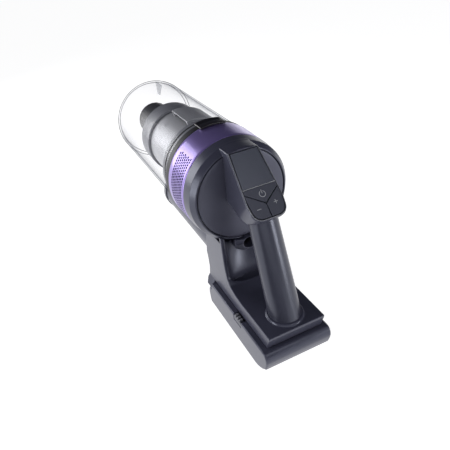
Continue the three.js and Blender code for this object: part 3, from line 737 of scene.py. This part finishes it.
def rim_piece():
    """The bright edge round the panel: a thin paler frame on the head's rim, a painted highlight
    for the light its chamfer catches.
    """
    outer = panel_outline(0.45, 0.9)
    inner = panel_outline(1.15, -5)
    low, high = -0.9, 0.12

    def field(x, y, z):
        across, down, height = panel_coordinates(x, y, z)
        frame_flat = cut(polygon(across, down, outer), polygon(across, down, inner))
        return extrude(frame_flat, slab(height, low, high), 0.15)

    corners = np.array([on_panel(*point, height) for point in outer for height in (low, high)])
    made = moulded("panel_edge_highlight", field, corners.min(0), corners.max(0), 0.35)
    piece(made, "main_unit", "rim_highlight_grey")


def key_outlines():
    gap = 0.28
    power = [
        (-SCREEN_HALF_LOW - 0.1, SCREEN_END + gap + 0.2, 0.6),
        (SCREEN_HALF_LOW + 0.1, SCREEN_END + gap + 0.2, 0.6),
        (SPLIT_HALF - 0.3, SPLIT_START - gap, 0.6),
        (0, SPLIT_MEET - gap - 0.2, 0.8),
        (-SPLIT_HALF + 0.3, SPLIT_START - gap, 0.6),
    ]
    rim = PANEL_RIM + 0.35
    plus = [
        (gap, SPLIT_MEET + gap, 0.6), (SPLIT_HALF - 0.2, SPLIT_START + gap, 0.6),
        (HEAD_HALF_LOW - rim, PANEL_TIP - 17, 20),
        (HEAD_HALF_LOW - 2 - rim, PANEL_TIP - rim, TIP_ROUND - rim), (gap, PANEL_TIP - rim, 0),
    ]
    minus = [(-across, down, edge) for across, down, edge in reversed(plus)]
    return {"power": fillet(power, 3), "plus": fillet(plus, 6), "minus": fillet(minus, 6)}


def bar(across, down, half_across, half_down):
    return lambda u, v: extrude(
        np.abs(u - across) - half_across, np.abs(v - down) - half_down, 0.2
    )


POWER_AT, MINUS_AT, PLUS_AT = (0, 46.4), (-9.0, 59.2), (9.0, 56.8)
MARK_HALF = 0.3


def power_mark(u, v):
    """The usual power symbol: an open ring with a bar through its gap."""
    du, dv = u - POWER_AT[0], v - POWER_AT[1]
    arc = np.abs(length(du, dv) - 2.9) - MARK_HALF
    gap = extrude(np.abs(du) - 1.25, np.abs(dv + 3.0) - 2.4)
    stem = extrude(np.abs(du) - MARK_HALF, np.abs(dv + 2.3) - 1.9, 0.2)
    return union(cut(arc, gap), stem)


def plus_mark(u, v):
    flat = bar(*PLUS_AT, 2.1, MARK_HALF)(u, v)
    return union(flat, bar(*PLUS_AT, MARK_HALF, 2.1)(u, v))


def mark_piece(name, flat, middle, body):
    """A thin raised symbol on a key."""
    top = 0.1

    def field(x, y, z):
        across, down, height = panel_coordinates(x, y, z)
        return extrude(flat(across, down), slab(height, top - 0.3, top + 0.12), 0.05)

    centre = np.array(on_panel(*middle, 0))
    reach = np.array([3.6, 3.2, 3.2])
    made = moulded(name, field, centre - reach, centre + reach, 0.16)
    piece(made, body, "mark_grey")


def control_panel():
    lens = [
        (-SCREEN_HALF_TOP, SCREEN_TOP, 0.8), (SCREEN_HALF_TOP, SCREEN_TOP, 0.8),
        (SCREEN_HALF_LOW, SCREEN_END, 0.5), (-SCREEN_HALF_LOW, SCREEN_END, 0.5),
    ]
    panel_piece(
        "display_window", fillet(lens, 4), -2.6, -0.12, 0.25, 0.45, "main_unit", "screen_glass",
        ["display_lens"],
    )
    half, above, below = SCREEN_HALF_LOW + 0.1, SCREEN_END - 0.15, SCREEN_END + 0.3
    trim = [(-half, above, 0), (half, above, 0), (half, below, 0), (-half, below, 0)]
    panel_piece(
        "window_trim", fillet(trim), -1.2, 0.05, 0.1, 0.2, "main_unit", "mark_grey",
    )
    rim_piece()
    for name, outline in key_outlines().items():
        panel_piece(
            f"{name}_key_cap", outline, -2.3, 0.1, 0.35, 0.4, f"{name}_key", "key_plastic",
            [f"{name}_button"],
        )
    mark_piece("power_mark", power_mark, POWER_AT, "power_key")
    mark_piece("minus_mark", bar(*MINUS_AT, 2.1, MARK_HALF), MINUS_AT, "minus_key")
    mark_piece("plus_mark", plus_mark, PLUS_AT, "plus_key")


# ---- dust bin ----
BIN_R = half_width("dust_bin")
BIN_Y0, BIN_Y1 = y_range("dust_bin")
BIN_WALL = 1.7
BIN_EDGE = 3.4


def dust_bin():
    inner = BIN_R - BIN_WALL
    profile = [
        (inner, BIN_Y0, 0.3), (BIN_R, BIN_Y0, 0.3), (BIN_R, BIN_Y1, BIN_EDGE), (0, BIN_Y1, 0),
        (0, BIN_Y1 - BIN_WALL, 0), (inner, BIN_Y1 - BIN_WALL, BIN_EDGE - 1),
    ]
    shell = lathe("bin_shell", profile, segments=160, arc_steps=7)
    piece(shell, "dust_bin", "clear_plastic", replaces=["dust_bin"])

    # Thin grey rings along the rounded corner's edges: painted shade where the thick corner bends
    # the light away.
    corner_lines = [(BIN_R - 0.25, BIN_Y1 - BIN_EDGE), (BIN_R - BIN_EDGE, BIN_Y1 - 0.25)]
    for name, (radius, y) in zip(("outer", "inner"), corner_lines):
        square = [
            (radius - 0.4, y - 0.4, 0.3), (radius + 0.4, y - 0.4, 0.3),
            (radius + 0.4, y + 0.4, 0.3), (radius - 0.4, y + 0.4, 0.3),
        ]
        corner_shade_ring = lathe(f"bin_corner_{name}", square, segments=160)
        piece(corner_shade_ring, "dust_bin", "clear_edge")

    rib_x, root = 11.0, BIN_Y1 - BIN_WALL - 0.05

    def rib(x, y, z):
        blade = polygon(y, z, [(root, 60), (root, 34), (root - 8, 34), (root - 33, 60)])
        blade = extrude(blade, np.abs(x - rib_x) - 0.8, 0.3)
        return meet(blade, length(x, z) - (inner - 0.05))

    # The rib's faint grey is painted shade of the same kind, for the light its edges bend away.
    made = moulded("bin_rib", rib, (rib_x - 2, root - 34, 33), (rib_x + 2, root, 53), 0.5)
    piece(made, "dust_bin", "clear_rib")


def collar():
    y0, y1 = y_range("bin_collar")
    radius = half_width("bin_collar")
    step_y = BIN_Y0 - GAP
    spigot = BIN_R - BIN_WALL - 0.3
    profile = [
        (49.4, y0, 0.3), (radius, y0, 0.7), (radius, step_y, 0.7), (spigot, step_y, 0.2),
        (spigot, y1, 0.4), (49.4, y1, 0.4),
    ]
    made = lathe("collar_ring", profile, segments=144)
    piece(made, "dust_bin", "black_plastic", replaces=["bin_collar"])


def latch():
    """A curved rocker pad with a finger hollow across it."""
    low, high = box("bin_latch")
    half, y0, y1 = high[0], low[1], high[1]
    top = high[2]

    def field(x, y, z):
        radius, along = length(x, z), np.arctan2(x, z) * 58
        pad = rounded_box(along, y, radius, -half, half, y0, y1, 56.5, top, 0.9)
        middle = (y0 + y1) / 2
        hollow = length(y - middle - 2.0, radius - top - 7.2) - 8.3
        return cut(pad, np.maximum(hollow, np.abs(along) - half + 2.2), 0.5)

    made = moulded("latch_pad", field, (low[0], y0, 53), (high[0], y1, top), 0.4)
    piece(made, "bin_latch", "black_gloss", replaces=["bin_latch"])


# ---- cyclone ----
CYCLONE_R = half_width("cyclone_body")
CYCLONE_Y0, CYCLONE_Y1 = y_range("cyclone_body")
SKIRT_R = half_width("cyclone_skirt")
SKIRT_Y0, SKIRT_Y1 = y_range("cyclone_skirt")
TUBE_R = half_width("dust_tube")
TUBE_Y0, TUBE_Y1 = y_range("dust_tube")
SCOOP_Y0, SCOOP_Y1 = y_range("inlet_scoop")
SCOOP_FROM, SCOOP_TO = math.radians(-11), math.radians(36)
WINDOW_FROM, WINDOW_TO = math.radians(-6), math.radians(26)


def cyclone_base():
    y0, y1 = y_range("cyclone_base")
    radius = half_width("cyclone_base")
    profile = [
        (46.5, y0, 0), (49, y0, 0.3), (49, 57.3, 0), (radius, 57.3, 0.3), (radius, 62, 0.2),
        (50, 62, 0), (50, 65, 0), (radius, 65, 0.2), (radius, y1, 1.4), (CYCLONE_R + 0.2, y1, 0.8),
        (CYCLONE_R - 3, y1 - 3, 0), (46.5, y1 - 3, 0),
    ]
    made = lathe("cyclone_foot", profile, segments=144)
    piece(made, "cyclone", "grey_plastic", replaces=["cyclone_base"])


def cyclone_body():
    """The silver cylinder with the window that lets dusty air in under the scoop."""
    segments = 144
    step = 2 * math.pi / segments
    rows = [CYCLONE_Y0, CYCLONE_Y0 + 1, SCOOP_Y0 + 8, SCOOP_Y1 - 6, CYCLONE_Y1 - 1.0]
    rows += [CYCLONE_Y1 - 0.3, CYCLONE_Y1]

    def outer(y):
        return CYCLONE_R - 0.5 * max(0.0, y - CYCLONE_Y1 + 0.6)

    def is_window(row, k):
        angle = (k + 0.5) * step
        angle -= 2 * math.pi * (angle > math.pi)
        return row == 2 and WINDOW_FROM < angle < WINDOW_TO

    loops = []
    inner = CYCLONE_R - 1.5

    def wall(first, second):
        loops.append(
            [
                on_barrel(outer(first[1]), *first), on_barrel(outer(second[1]), *second),
                on_barrel(inner, *second), on_barrel(inner, *first),
            ]
        )

    for row, (y0, y1) in enumerate(zip(rows, rows[1:])):
        for k in range(segments):
            a0, a1 = k * step, (k + 1) % segments * step
            if is_window(row, k):
                wall((a0, y0), (a1, y0))
                wall((a0, y1), (a1, y1))
                if not is_window(row, (k - 1) % segments):
                    wall((a0, y0), (a0, y1))
                if not is_window(row, (k + 1) % segments):
                    wall((a1, y0), (a1, y1))
                continue
            square = [(a0, y0), (a1, y0), (a1, y1), (a0, y1)]
            loops.append([on_barrel(outer(y), a, y) for a, y in square])
            loops.append([on_barrel(inner, a, y) for a, y in reversed(square)])
    for y in (rows[0], rows[-1]):
        for k in range(segments):
            wall((k * step, y), ((k + 1) % segments * step, y))
    corners, faces = weld(loops)
    made = new_object("cyclone_shell", corners, faces, sharp=35, outward=True)
    piece(made, "cyclone", "silver_shell", replaces=["cyclone_body"])


def cyclone_skirt():
    profile = [
        (CYCLONE_R + 0.2, SKIRT_Y0, 0), (SKIRT_R, SKIRT_Y0, 0.5), (SKIRT_R, SKIRT_Y1, 2.2),
        (TUBE_R + 0.6, SKIRT_Y1, 0), (TUBE_R + 0.6, SKIRT_Y1 - 2, 0),
        (SKIRT_R - 1.8, SKIRT_Y1 - 2, 0), (SKIRT_R - 1.8, SKIRT_Y0 + 1.7, 0),
        (CYCLONE_R + 0.2, SKIRT_Y0 + 1.7, 0),
    ]
    made = lathe("skirt_shell", profile, segments=144)
    piece(made, "cyclone", "grey_plastic", replaces=["cyclone_skirt"])


def dust_tube():
    profile = [
        (TUBE_R - 1.6, TUBE_Y0, 0), (TUBE_R, TUBE_Y0, 0.3), (TUBE_R, TUBE_Y1, 0.6),
        (TUBE_R - 1.6, TUBE_Y1, 0.3),
    ]
    made = lathe("dust_tube_shell", profile, segments=96)
    piece(made, "cyclone", "dark_plastic", replaces=["dust_tube"])


def inlet_scoop():
    """A roof over the window, open on its left side."""
    high = box("inlet_scoop")[1]
    roof = 47.0
    low_x, high_x = box("inlet_scoop")[0][0], high[0]

    def field(x, y, z):
        radius, angle = length(x, z), np.arctan2(x, z)
        middle, spread = (SCOOP_FROM + SCOOP_TO) / 2, (SCOOP_TO - SCOOP_FROM) / 2
        along = (np.abs(angle - middle) - spread) * 43
        block = extrude(np.maximum(along, -(radius - 39.2)), radius - roof)
        block = extrude(block, slab(y, SCOOP_Y0, SCOOP_Y1), 0.8)
        room = np.maximum((angle - SCOOP_TO) * 43 + 2.2, radius - 45.5)
        room = np.maximum(room, slab(y, SCOOP_Y0 + 2, SCOOP_Y1 - 2))
        return cut(block, room, 0.5)

    made = moulded(
        "scoop_roof", field, (low_x - 1, SCOOP_Y0, 28), (high_x + 2, SCOOP_Y1, roof), 0.5
    )
    piece(made, "cyclone", "silver_shell", ["inlet_scoop"])


def lock_mark():
    """A small raised padlock on the cyclone that shows which way it locks."""
    middle_angle, middle_y = math.radians(-32.5), 131.0

    def field(x, y, z):
        radius = length(x, z)
        along = (np.arctan2(x, z) - middle_angle) * CYCLONE_R
        v = y - middle_y
        body = extrude(np.abs(along) - 2.0, np.abs(v + 1.2) - 1.4, 0.3)
        shackle = np.maximum(np.abs(length(along, v - 0.6) - 1.3) - 0.3, 0.4 - v)
        return extrude(union(body, shackle), np.abs(radius - CYCLONE_R) - 0.18, 0.05)

    centre = np.array(on_barrel(CYCLONE_R, middle_angle, middle_y))
    made = moulded("lock_mark", field, centre - 3.4, centre + 3.4, 0.18)
    piece(made, "cyclone", "mark_grey")


# ---- inlet tube ----
INLET_Z = -80.4
INLET_R = half_width("inlet_tube")
INLET_Y0, INLET_Y1 = y_range("inlet_tube")
INLET_BORE = 23.4


def inlet_tube():
    def field(x, y, z):
        radius = length(x, z - INLET_Z)
        tube = extrude(np.abs(radius - (INLET_R + INLET_BORE) / 2) - (INLET_R - INLET_BORE) / 2,
                       slab(y, INLET_Y0, INLET_Y1), 0.6)
        wall = extrude(radius - INLET_BORE - 0.5, slab(y, 70, 73))
        barrel = extrude(length(x, z) - 56.4, slab(y, -20, 60))
        port = rounded_box(x, y, z, -9, 9, 76, 96, INLET_Z + 10, INLET_Z + 30, 1)
        collar_path = extrude(length(x, z) - half_width("bin_collar") - 0.5, slab(y, 40, 260))
        return cut(cut(union(tube, wall), union(barrel, collar_path)), port)

    made = moulded(
        "inlet_pipe", field, (-INLET_R, INLET_Y0, INLET_Z - INLET_R),
        (INLET_R, INLET_Y1, INLET_Z + INLET_R), 1.0,
    )
    piece(made, "main_unit", "body_plastic", replaces=["inlet_tube"])


def inlet_rim():
    low, high = box("inlet_rim")

    def field(x, y, z):
        radius = length(x, z - INLET_Z)
        band = extrude(np.abs(radius - INLET_R - 0.85) - 0.55, slab(y, low[1], high[1]), 0.3)
        return cut(band, rounded_box(x, y, z, -20, 20, 160, 190, INLET_Z + INLET_R, -30))

    made = moulded("inlet_band", field, low - 0.4, high + 0.4, 0.5)
    piece(made, "main_unit", "grey_plastic", replaces=["inlet_rim"])


# ---- leg and battery cradle ----
LEG_HALF, TOE_HALF = 31.1, 36.9
PLATE_TOP, PLATE_LOW, PLATE_REAR = -101.7, -118.6, -113.6
SOCKET_Z, BOSS_REAR = -55.3, -24.0
LEG_OUTLINE = fillet(
    [
        (-22.9, -36, 0), (-23.1, -58, 0), (-23.6, -74.6, 30), (-27, -89.8, 12), (-31.7, -95.6, 9),
        (-45.4, -100.3, 30), (-60, PLATE_TOP, 0), (PLATE_REAR, PLATE_TOP, 0.7),
        (PLATE_REAR + 0.3, PLATE_TOP - 2.6, 0.5), (PLATE_REAR + 6, PLATE_LOW, 0.4),
        (28.5, PLATE_LOW, 0.6), (24.6, -104, 8), (24.7, -93.3, 4), (26.1, -82.7, 4),
        (20.8, -61.7, 6), (16, -50, 0), (0, -36, 0),
    ]
)
TOE_TOP, TOE_LOW = -117.0, -127.0
TOE_OUTLINE = fillet(
    [(12.6, TOE_TOP, 0), (12.6, TOE_LOW, 0.6), (25, TOE_LOW, 2), (29, -121, 3), (28, TOE_TOP, 0)]
)
GRIP_TOP, GRIP_LOW = (-61.8, -14.6), (-90.0, -99.3)
GRIP_TOP_R, GRIP_LOW_R, GRIP_WALL = 14.5, 16.3, 3.0


def grip_coordinates(x, y, z):
    """Distance from the grip's axis, share of the way down it, and distance ahead of it."""
    ay, az = GRIP_TOP
    ey, ez = GRIP_LOW[0] - ay, GRIP_LOW[1] - az
    run = math.hypot(ey, ez)
    ey, ez = ey / run, ez / run
    along = (y - ay) * ey + (z - az) * ez
    ahead = (y - ay) * -ez + (z - az) * ey
    return length(x, ahead), along / run, ahead


def leg_field(x, y, z):
    leg = extrude(polygon(y, z, LEG_OUTLINE), np.abs(x) - LEG_HALF, 1.0)
    share = np.clip((TOE_TOP - z) / (TOE_TOP - TOE_LOW), 0, 1)
    flare = np.abs(x) - LEG_HALF - (TOE_HALF - LEG_HALF) * share
    toe = extrude(polygon(y, z, TOE_OUTLINE), flare * 0.86, 0.6)
    leg = union(leg, toe, 0.8)
    rise = np.clip((z + 98) / 38, 0, 1)
    depth = 6 + 11 * rise * rise * (3 - 2 * rise)
    trough = (length(x / 26.5, (y + 25) / depth) - 1) * depth
    trough = np.maximum(trough, slab(z, -98, -20))
    leg = cut(leg, trough, 2.0)
    boss_low = -42 - np.sqrt(np.maximum(21.5**2 - x * x, 0.0))
    boss = np.maximum(np.abs(x) - 15.7, np.maximum(boss_low - z, z + 30))
    boss = extrude(boss, slab(y, BOSS_REAR, -6), 0.8)
    leg = union(leg, boss, 0.8)
    radius = length(x, z)
    barrel = np.minimum(
        extrude(radius - 55.7, slab(y, -19.9, 70)), extrude(radius - 49.5, slab(y, -30, -19))
    )
    leg = cut(leg, barrel, 0.5)
    tube_seat = extrude(length(x, z - INLET_Z) - INLET_R - GAP, slab(y, INLET_Y0 - GAP, 60))
    leg = cut(leg, tube_seat, 0.5)
    socket_axis = length(x, z - SOCKET_Z)
    leg = union(leg, extrude(socket_axis - 7.4, slab(y, BOSS_REAR, -9.6), 0.5))
    leg = cut(leg, extrude(socket_axis - 6.2, slab(y, BOSS_REAR - 4, -9)), 0.6)
    rail = rounded_box(x, y, z, -9.6, 9.6, -88, 7.6, -122.5, -118, 0.2)
    rail = union(rail, rounded_box(x, y, z, -13.6, 13.6, -88, 7.6, -124, -121.6, 0.3))
    leg = union(leg, cut(rail, rounded_box(x, y, z, -6, 6, -10, 4, -126, -123.4)))
    from_axis, _, _ = grip_coordinates(x, y, z)
    collar_ring = extrude(from_axis - 18.6, slab(z, -104, -99.5), 1.6)
    leg = union(leg, collar_ring, 1.2)
    wires = np.maximum(from_axis - 7, z + 95)
    return cut(leg, wires)


def leg_and_cradle():
    made = moulded(
        "leg_shell", leg_field, (-TOE_HALF, PLATE_REAR, TOE_LOW), (TOE_HALF, 29, -36), 0.85
    )
    piece(made, "main_unit", "body_plastic", replaces=["leg_and_cradle"])


def socket_plate():
    """The raised plate on the boss that frames the charging socket."""

    def field(x, y, z):
        boss_low = -42 - np.sqrt(np.maximum(21.5**2 - x * x, 0.0))
        outline = np.maximum(np.abs(x) - 15.7, np.maximum(boss_low - z, z + 52)) + 1.1
        plate = extrude(outline, slab(y, BOSS_REAR - 0.9, BOSS_REAR + 0.3), 0.4)
        return cut(plate, length(x, z - SOCKET_Z) - 7.8)

    low, high = (-16, BOSS_REAR - 1, -66), (16, BOSS_REAR + 1, -50)
    piece(moulded("socket_plate", field, low, high, 0.3), "main_unit", "key_plastic")


# ---- grip ----
GRIP_SPLIT = 0.6


def grip_half(side):
    """The front (+1) or rear (-1) half of the grip, with a rounded edge along the seam."""

    def field(x, y, z):
        from_axis, share, ahead = grip_coordinates(x, y, z)
        radius = GRIP_TOP_R + (GRIP_LOW_R - GRIP_TOP_R) * np.clip(share, -0.2, 1.2)
        shell = np.abs(from_axis - radius + GRIP_WALL / 2) - GRIP_WALL / 2
        half = side * (GRIP_SPLIT - ahead) + 0.14
        joined = extrude(shell, half, 0.55)
        return extrude(joined, slab(z, GRIP_LOW[1] - 2.2, GRIP_TOP[1] + 16), 0.3)

    return field


def grip():
    low, high = (-17, -112, -102), (17, -40, 2)
    for name, node, side in (("grip_insert", "grip_front", 1), ("grip_back", "grip_rear", -1)):
        made = moulded(name, grip_half(side), low, high, 0.7)
        # The grip's darker colour is painted shade.
        piece(made, "main_unit", "grip_shaded_plastic", [node])


# ---- battery ----
BATTERY_HALF = half_width("battery_case")
BATTERY_LOW, BATTERY_HIGH = box("battery_case")
FOOT_Z, BATTERY_TOP = BATTERY_LOW[2], BATTERY_HIGH[2]
MOUTH_HALF = 29.0
RELEASE_Y = -54.5
BATTERY_OUTLINE = fillet(
    [
        (11.6, BATTERY_TOP, 0.5), (11.6, TOE_LOW - 0.4, 0.5), (17.8, TOE_LOW - 0.6, 2),
        (21, -131.5, 8), (22.2, -138, 10), (21.6, -146, 6), (20.2, FOOT_Z, 1.2), (-90, FOOT_Z, 20),
        (-96, -151.4, 20), (-104.5, -147.4, 20), (-112.4, -141, 1), (-114.8, -135, 20),
        (-116.4, -129.4, 10), (-116.2, -125.6, 8), (-114.6, -122, 6), (-111.6, -119.8, 5),
        (-108.4, BATTERY_TOP, 2),
    ]
)
ROOM_OUTLINE = [
    (15, -128), (15, FOOT_Z + 2.4), (-95, FOOT_Z + 2.4), (-101.5, -146.4), (-103.6, -141),
    (-103.6, -128),
]
MOUTH_REAR, MOUTH_FRONT = -104.0, 9.4


def battery_field(x, y, z):
    case = extrude(polygon(y, z, BATTERY_OUTLINE), np.abs(x) - BATTERY_HALF, 1.8)
    room = extrude(polygon(y, z, ROOM_OUTLINE), np.abs(x) - 33.4, 1)
    case = cut(case, room)
    mouth = rounded_box(
        x, y, z, -MOUTH_HALF, MOUTH_HALF, MOUTH_REAR, MOUTH_FRONT, -129.5, -105, 0.8
    )
    case = cut(case, mouth)
    case = cut(case, rounded_box(x, y, z, -14.2, 14.2, MOUTH_FRONT - 2, 45, -124.6, -105, 0.5))
    pocket = rounded_box(np.abs(x), y, z, 30, 45, RELEASE_Y - 8.4, RELEASE_Y + 8.4, -127, -105, 0.6)
    return cut(case, pocket, 0.4)


def battery_case():
    made = moulded("battery_shell", battery_field, BATTERY_LOW, BATTERY_HIGH, 0.85)
    piece(made, "battery", "body_plastic", replaces=["battery_case"])


def release_key(name):
    """A key at the battery's side with three finger ribs across its top."""
    low, high = box(f"release_button_{name}")
    rib_pitch = 4.4

    def key(x, y, z):
        return rounded_box(x, y, z, low[0], high[0], low[1], high[1], low[2], high[2] - 1.1, 0.5)

    def ribs(x, y, z):
        made = np.inf
        for k in (-1, 0, 1):
            y0 = RELEASE_Y + k * rib_pitch
            made = union(
                made,
                rounded_box(
                    x, y, z, low[0] + 0.2, high[0] - 0.2, y0 - 1, y0 + 1, high[2] - 1.6,
                    high[2] + 0.7, 0.5,
                ),
            )
        return made

    made = moulded(f"release_key_{name}", key, low, high, 0.32)
    piece(made, f"release_{name}", "key_plastic", replaces=[f"release_button_{name}"])
    top = (high[0], high[1], high[2] + 0.7)
    # The ribs are the key's own plastic; their paler grey is a painted highlight where they catch
    # the light.
    made = moulded(f"release_ribs_highlight_{name}", ribs, low, top, 0.25)
    piece(made, f"release_{name}", "grey_plastic")


# ---- stage, light and camera ----
CAMERA_AT = Vector((-0.17095, -0.35752, 0.38453))
CAMERA_ANGLES = -21.43, 32.59, -7.61  # azimuth, elevation and roll in degrees
CAMERA_LENS, SENSOR = 38.36, 36.0


def camera():
    data = bpy.data.cameras.new("camera")
    data.lens, data.sensor_width = CAMERA_LENS, SENSOR
    data.clip_start, data.clip_end = 0.01, 100
    made = linked("camera", data)
    azimuth, elevation, roll = map(math.radians, CAMERA_ANGLES)
    level = math.cos(elevation)
    back = Vector((math.sin(azimuth) * level, -math.cos(azimuth) * level, math.sin(elevation)))
    right = (-back).cross(Vector((0, 0, 1))).normalized()
    up = right.cross(-back)
    rolled_right = math.cos(roll) * right + math.sin(roll) * up
    rolled_up = math.cos(roll) * up - math.sin(roll) * right
    turn = Matrix((rolled_right, rolled_up, back)).transposed().to_4x4()
    made.matrix_world = Matrix.Translation(CAMERA_AT) @ turn
    bpy.context.scene.camera = made


def stage_mesh(name, corners, faces, material):
    """A mesh given in metres that only dresses the stage."""
    mesh = bpy.data.meshes.new(name)
    mesh.from_pydata(corners, [], faces)
    mesh.materials.append(material)
    return linked(name, mesh)


def ring_of(radius, z, count):
    turns = [2 * math.pi * k / count for k in range(count)]
    return [(radius * math.cos(turn), radius * math.sin(turn), z) for turn in turns]


def mottled(name, size_mm, first, second, inputs):
    material, tree, bsdf, coords = new_material(name)
    patches = ranged(tree, noise(tree, coords, size_mm), 0, 1)
    feed(tree, bsdf, {"Base Color": tint(tree, patches, first, second), **inputs})
    return material


def floor():
    """A plain white floor that gives its own light."""
    glow = {"Emission Color": (1, 1, 1, 1), "Emission Strength": FLOOR_GLOW}
    glow.update({"Roughness": 1.0, "Specular IOR Level": 0.0})
    white = mottled("floor_white", 400, (0.34, 0.34, 0.34), (0.36, 0.36, 0.36), glow)
    return stage_mesh("floor", ring_of(FLOOR_RADIUS, 0.0, 96), [list(range(96))], white)


def backdrop():
    """A white dome that only the camera sees."""
    rings, around = 12, 48
    radius = FLOOR_RADIUS - 0.1
    corners, faces = [], []
    for i in range(rings + 1):
        lift = math.pi / 2 * i / rings
        corners += ring_of(radius * math.cos(lift), radius * math.sin(lift) - 0.05, around)
    for i in range(rings):
        for k in range(around):
            a, b = i * around + k, i * around + (k + 1) % around
            faces.append([a, b, b + around, a + around])
    white, tree, _, _ = new_material("backdrop_white")
    glow = add(tree, "Emission", {"Strength": 1.0}).outputs[0]
    feed(tree, tree.nodes["Material Output"], {"Surface": glow})
    dome = stage_mesh("backdrop", corners, faces, white)
    for flag in ("diffuse", "glossy", "shadow", "volume_scatter", "transmission"):
        setattr(dome, f"visible_{flag}", False)
    return dome


def black_card():
    """A black card on the floor beside the camera, out of its sight, that deepens the contrast."""
    corners = []
    for radius, azimuth in (
        (CARD_NEAR, CARD_FROM), (CARD_FAR, CARD_FROM), (CARD_FAR, CARD_TO), (CARD_NEAR, CARD_TO)
    ):
        turn = math.radians(azimuth)
        corners.append((radius * math.sin(turn), -radius * math.cos(turn), 0.004))
    dull = {"Roughness": 0.9}
    black = mottled("card_black", 4, (0.010, 0.010, 0.012), (0.016, 0.016, 0.019), dull)
    made = stage_mesh("black_card", corners, [[0, 1, 2, 3]], black)
    made.visible_camera = False
    made.visible_shadow = False
    return made


def stage():
    made, dome, card = floor(), backdrop(), black_card()


def softbox(name, at, towards, width, height, radiance):
    data = bpy.data.lights.new(name, "AREA")
    data.shape = "RECTANGLE"
    data.size, data.size_y = width, height
    data.energy = radiance * math.pi * width * height
    made = linked(name, data)
    direction = Vector(towards) - Vector(at)
    made.rotation_euler = direction.to_track_quat("-Z", "Y").to_euler()
    made.location = at
    made.visible_camera = False
    return made


FLOOR_GLOW, FLOOR_RADIUS = 0.95, 12.0
CARD_NEAR, CARD_FAR = 0.22, 3.0
CARD_FROM, CARD_TO = -72, -4
LIGHT_REACH = 1.2
SOFTBOXES = [
    # name, azimuth from behind in degrees, height, width, tallness, radiance
    ("left_box", -92, 0.25, 0.5, 0.8, 6.0),
    ("front_left_box", -146, 0.46, 0.7, 0.6, 4.8),
    ("right_rear_box", 38, 0.15, 0.35, 0.7, 8.0),
    ("top_rear_box", 20, 1.5, 0.8, 0.8, 1.6),
    ("right_front_box", 141, 0.22, 0.5, 0.4, 0.9),
    ("fill_box", -30, 0.5, 1.2, 1.0, 0.8),
]


def light():
    middle = (0, 0.05, 0.12)
    for name, azimuth, height, width, tall, radiance in SOFTBOXES:
        angle = math.radians(azimuth)
        at = (LIGHT_REACH * math.sin(angle), -LIGHT_REACH * math.cos(angle), height)
        softbox(name, at, middle, width, tall, radiance)
    world = bpy.data.worlds.new("dim_room")
    bpy.context.scene.world = world
    world.use_nodes = True
    world.node_tree.nodes["Background"].inputs["Color"].default_value = (0.05, 0.052, 0.068, 1)
    bpy.context.scene.view_settings.view_transform = "Standard"


# ---- the whole unit ----
camera()
stage()
light()
dress_cad_nodes()
exhaust_ring()
rear_shell()
rear_cover()
control_panel()
dust_bin()
collar()
latch()
cyclone_base()
cyclone_body()
cyclone_skirt()
dust_tube()
inlet_scoop()
lock_mark()
inlet_tube()
inlet_rim()
leg_and_cradle()
socket_plate()
grip()
battery_case()
release_key("left")
release_key("right")
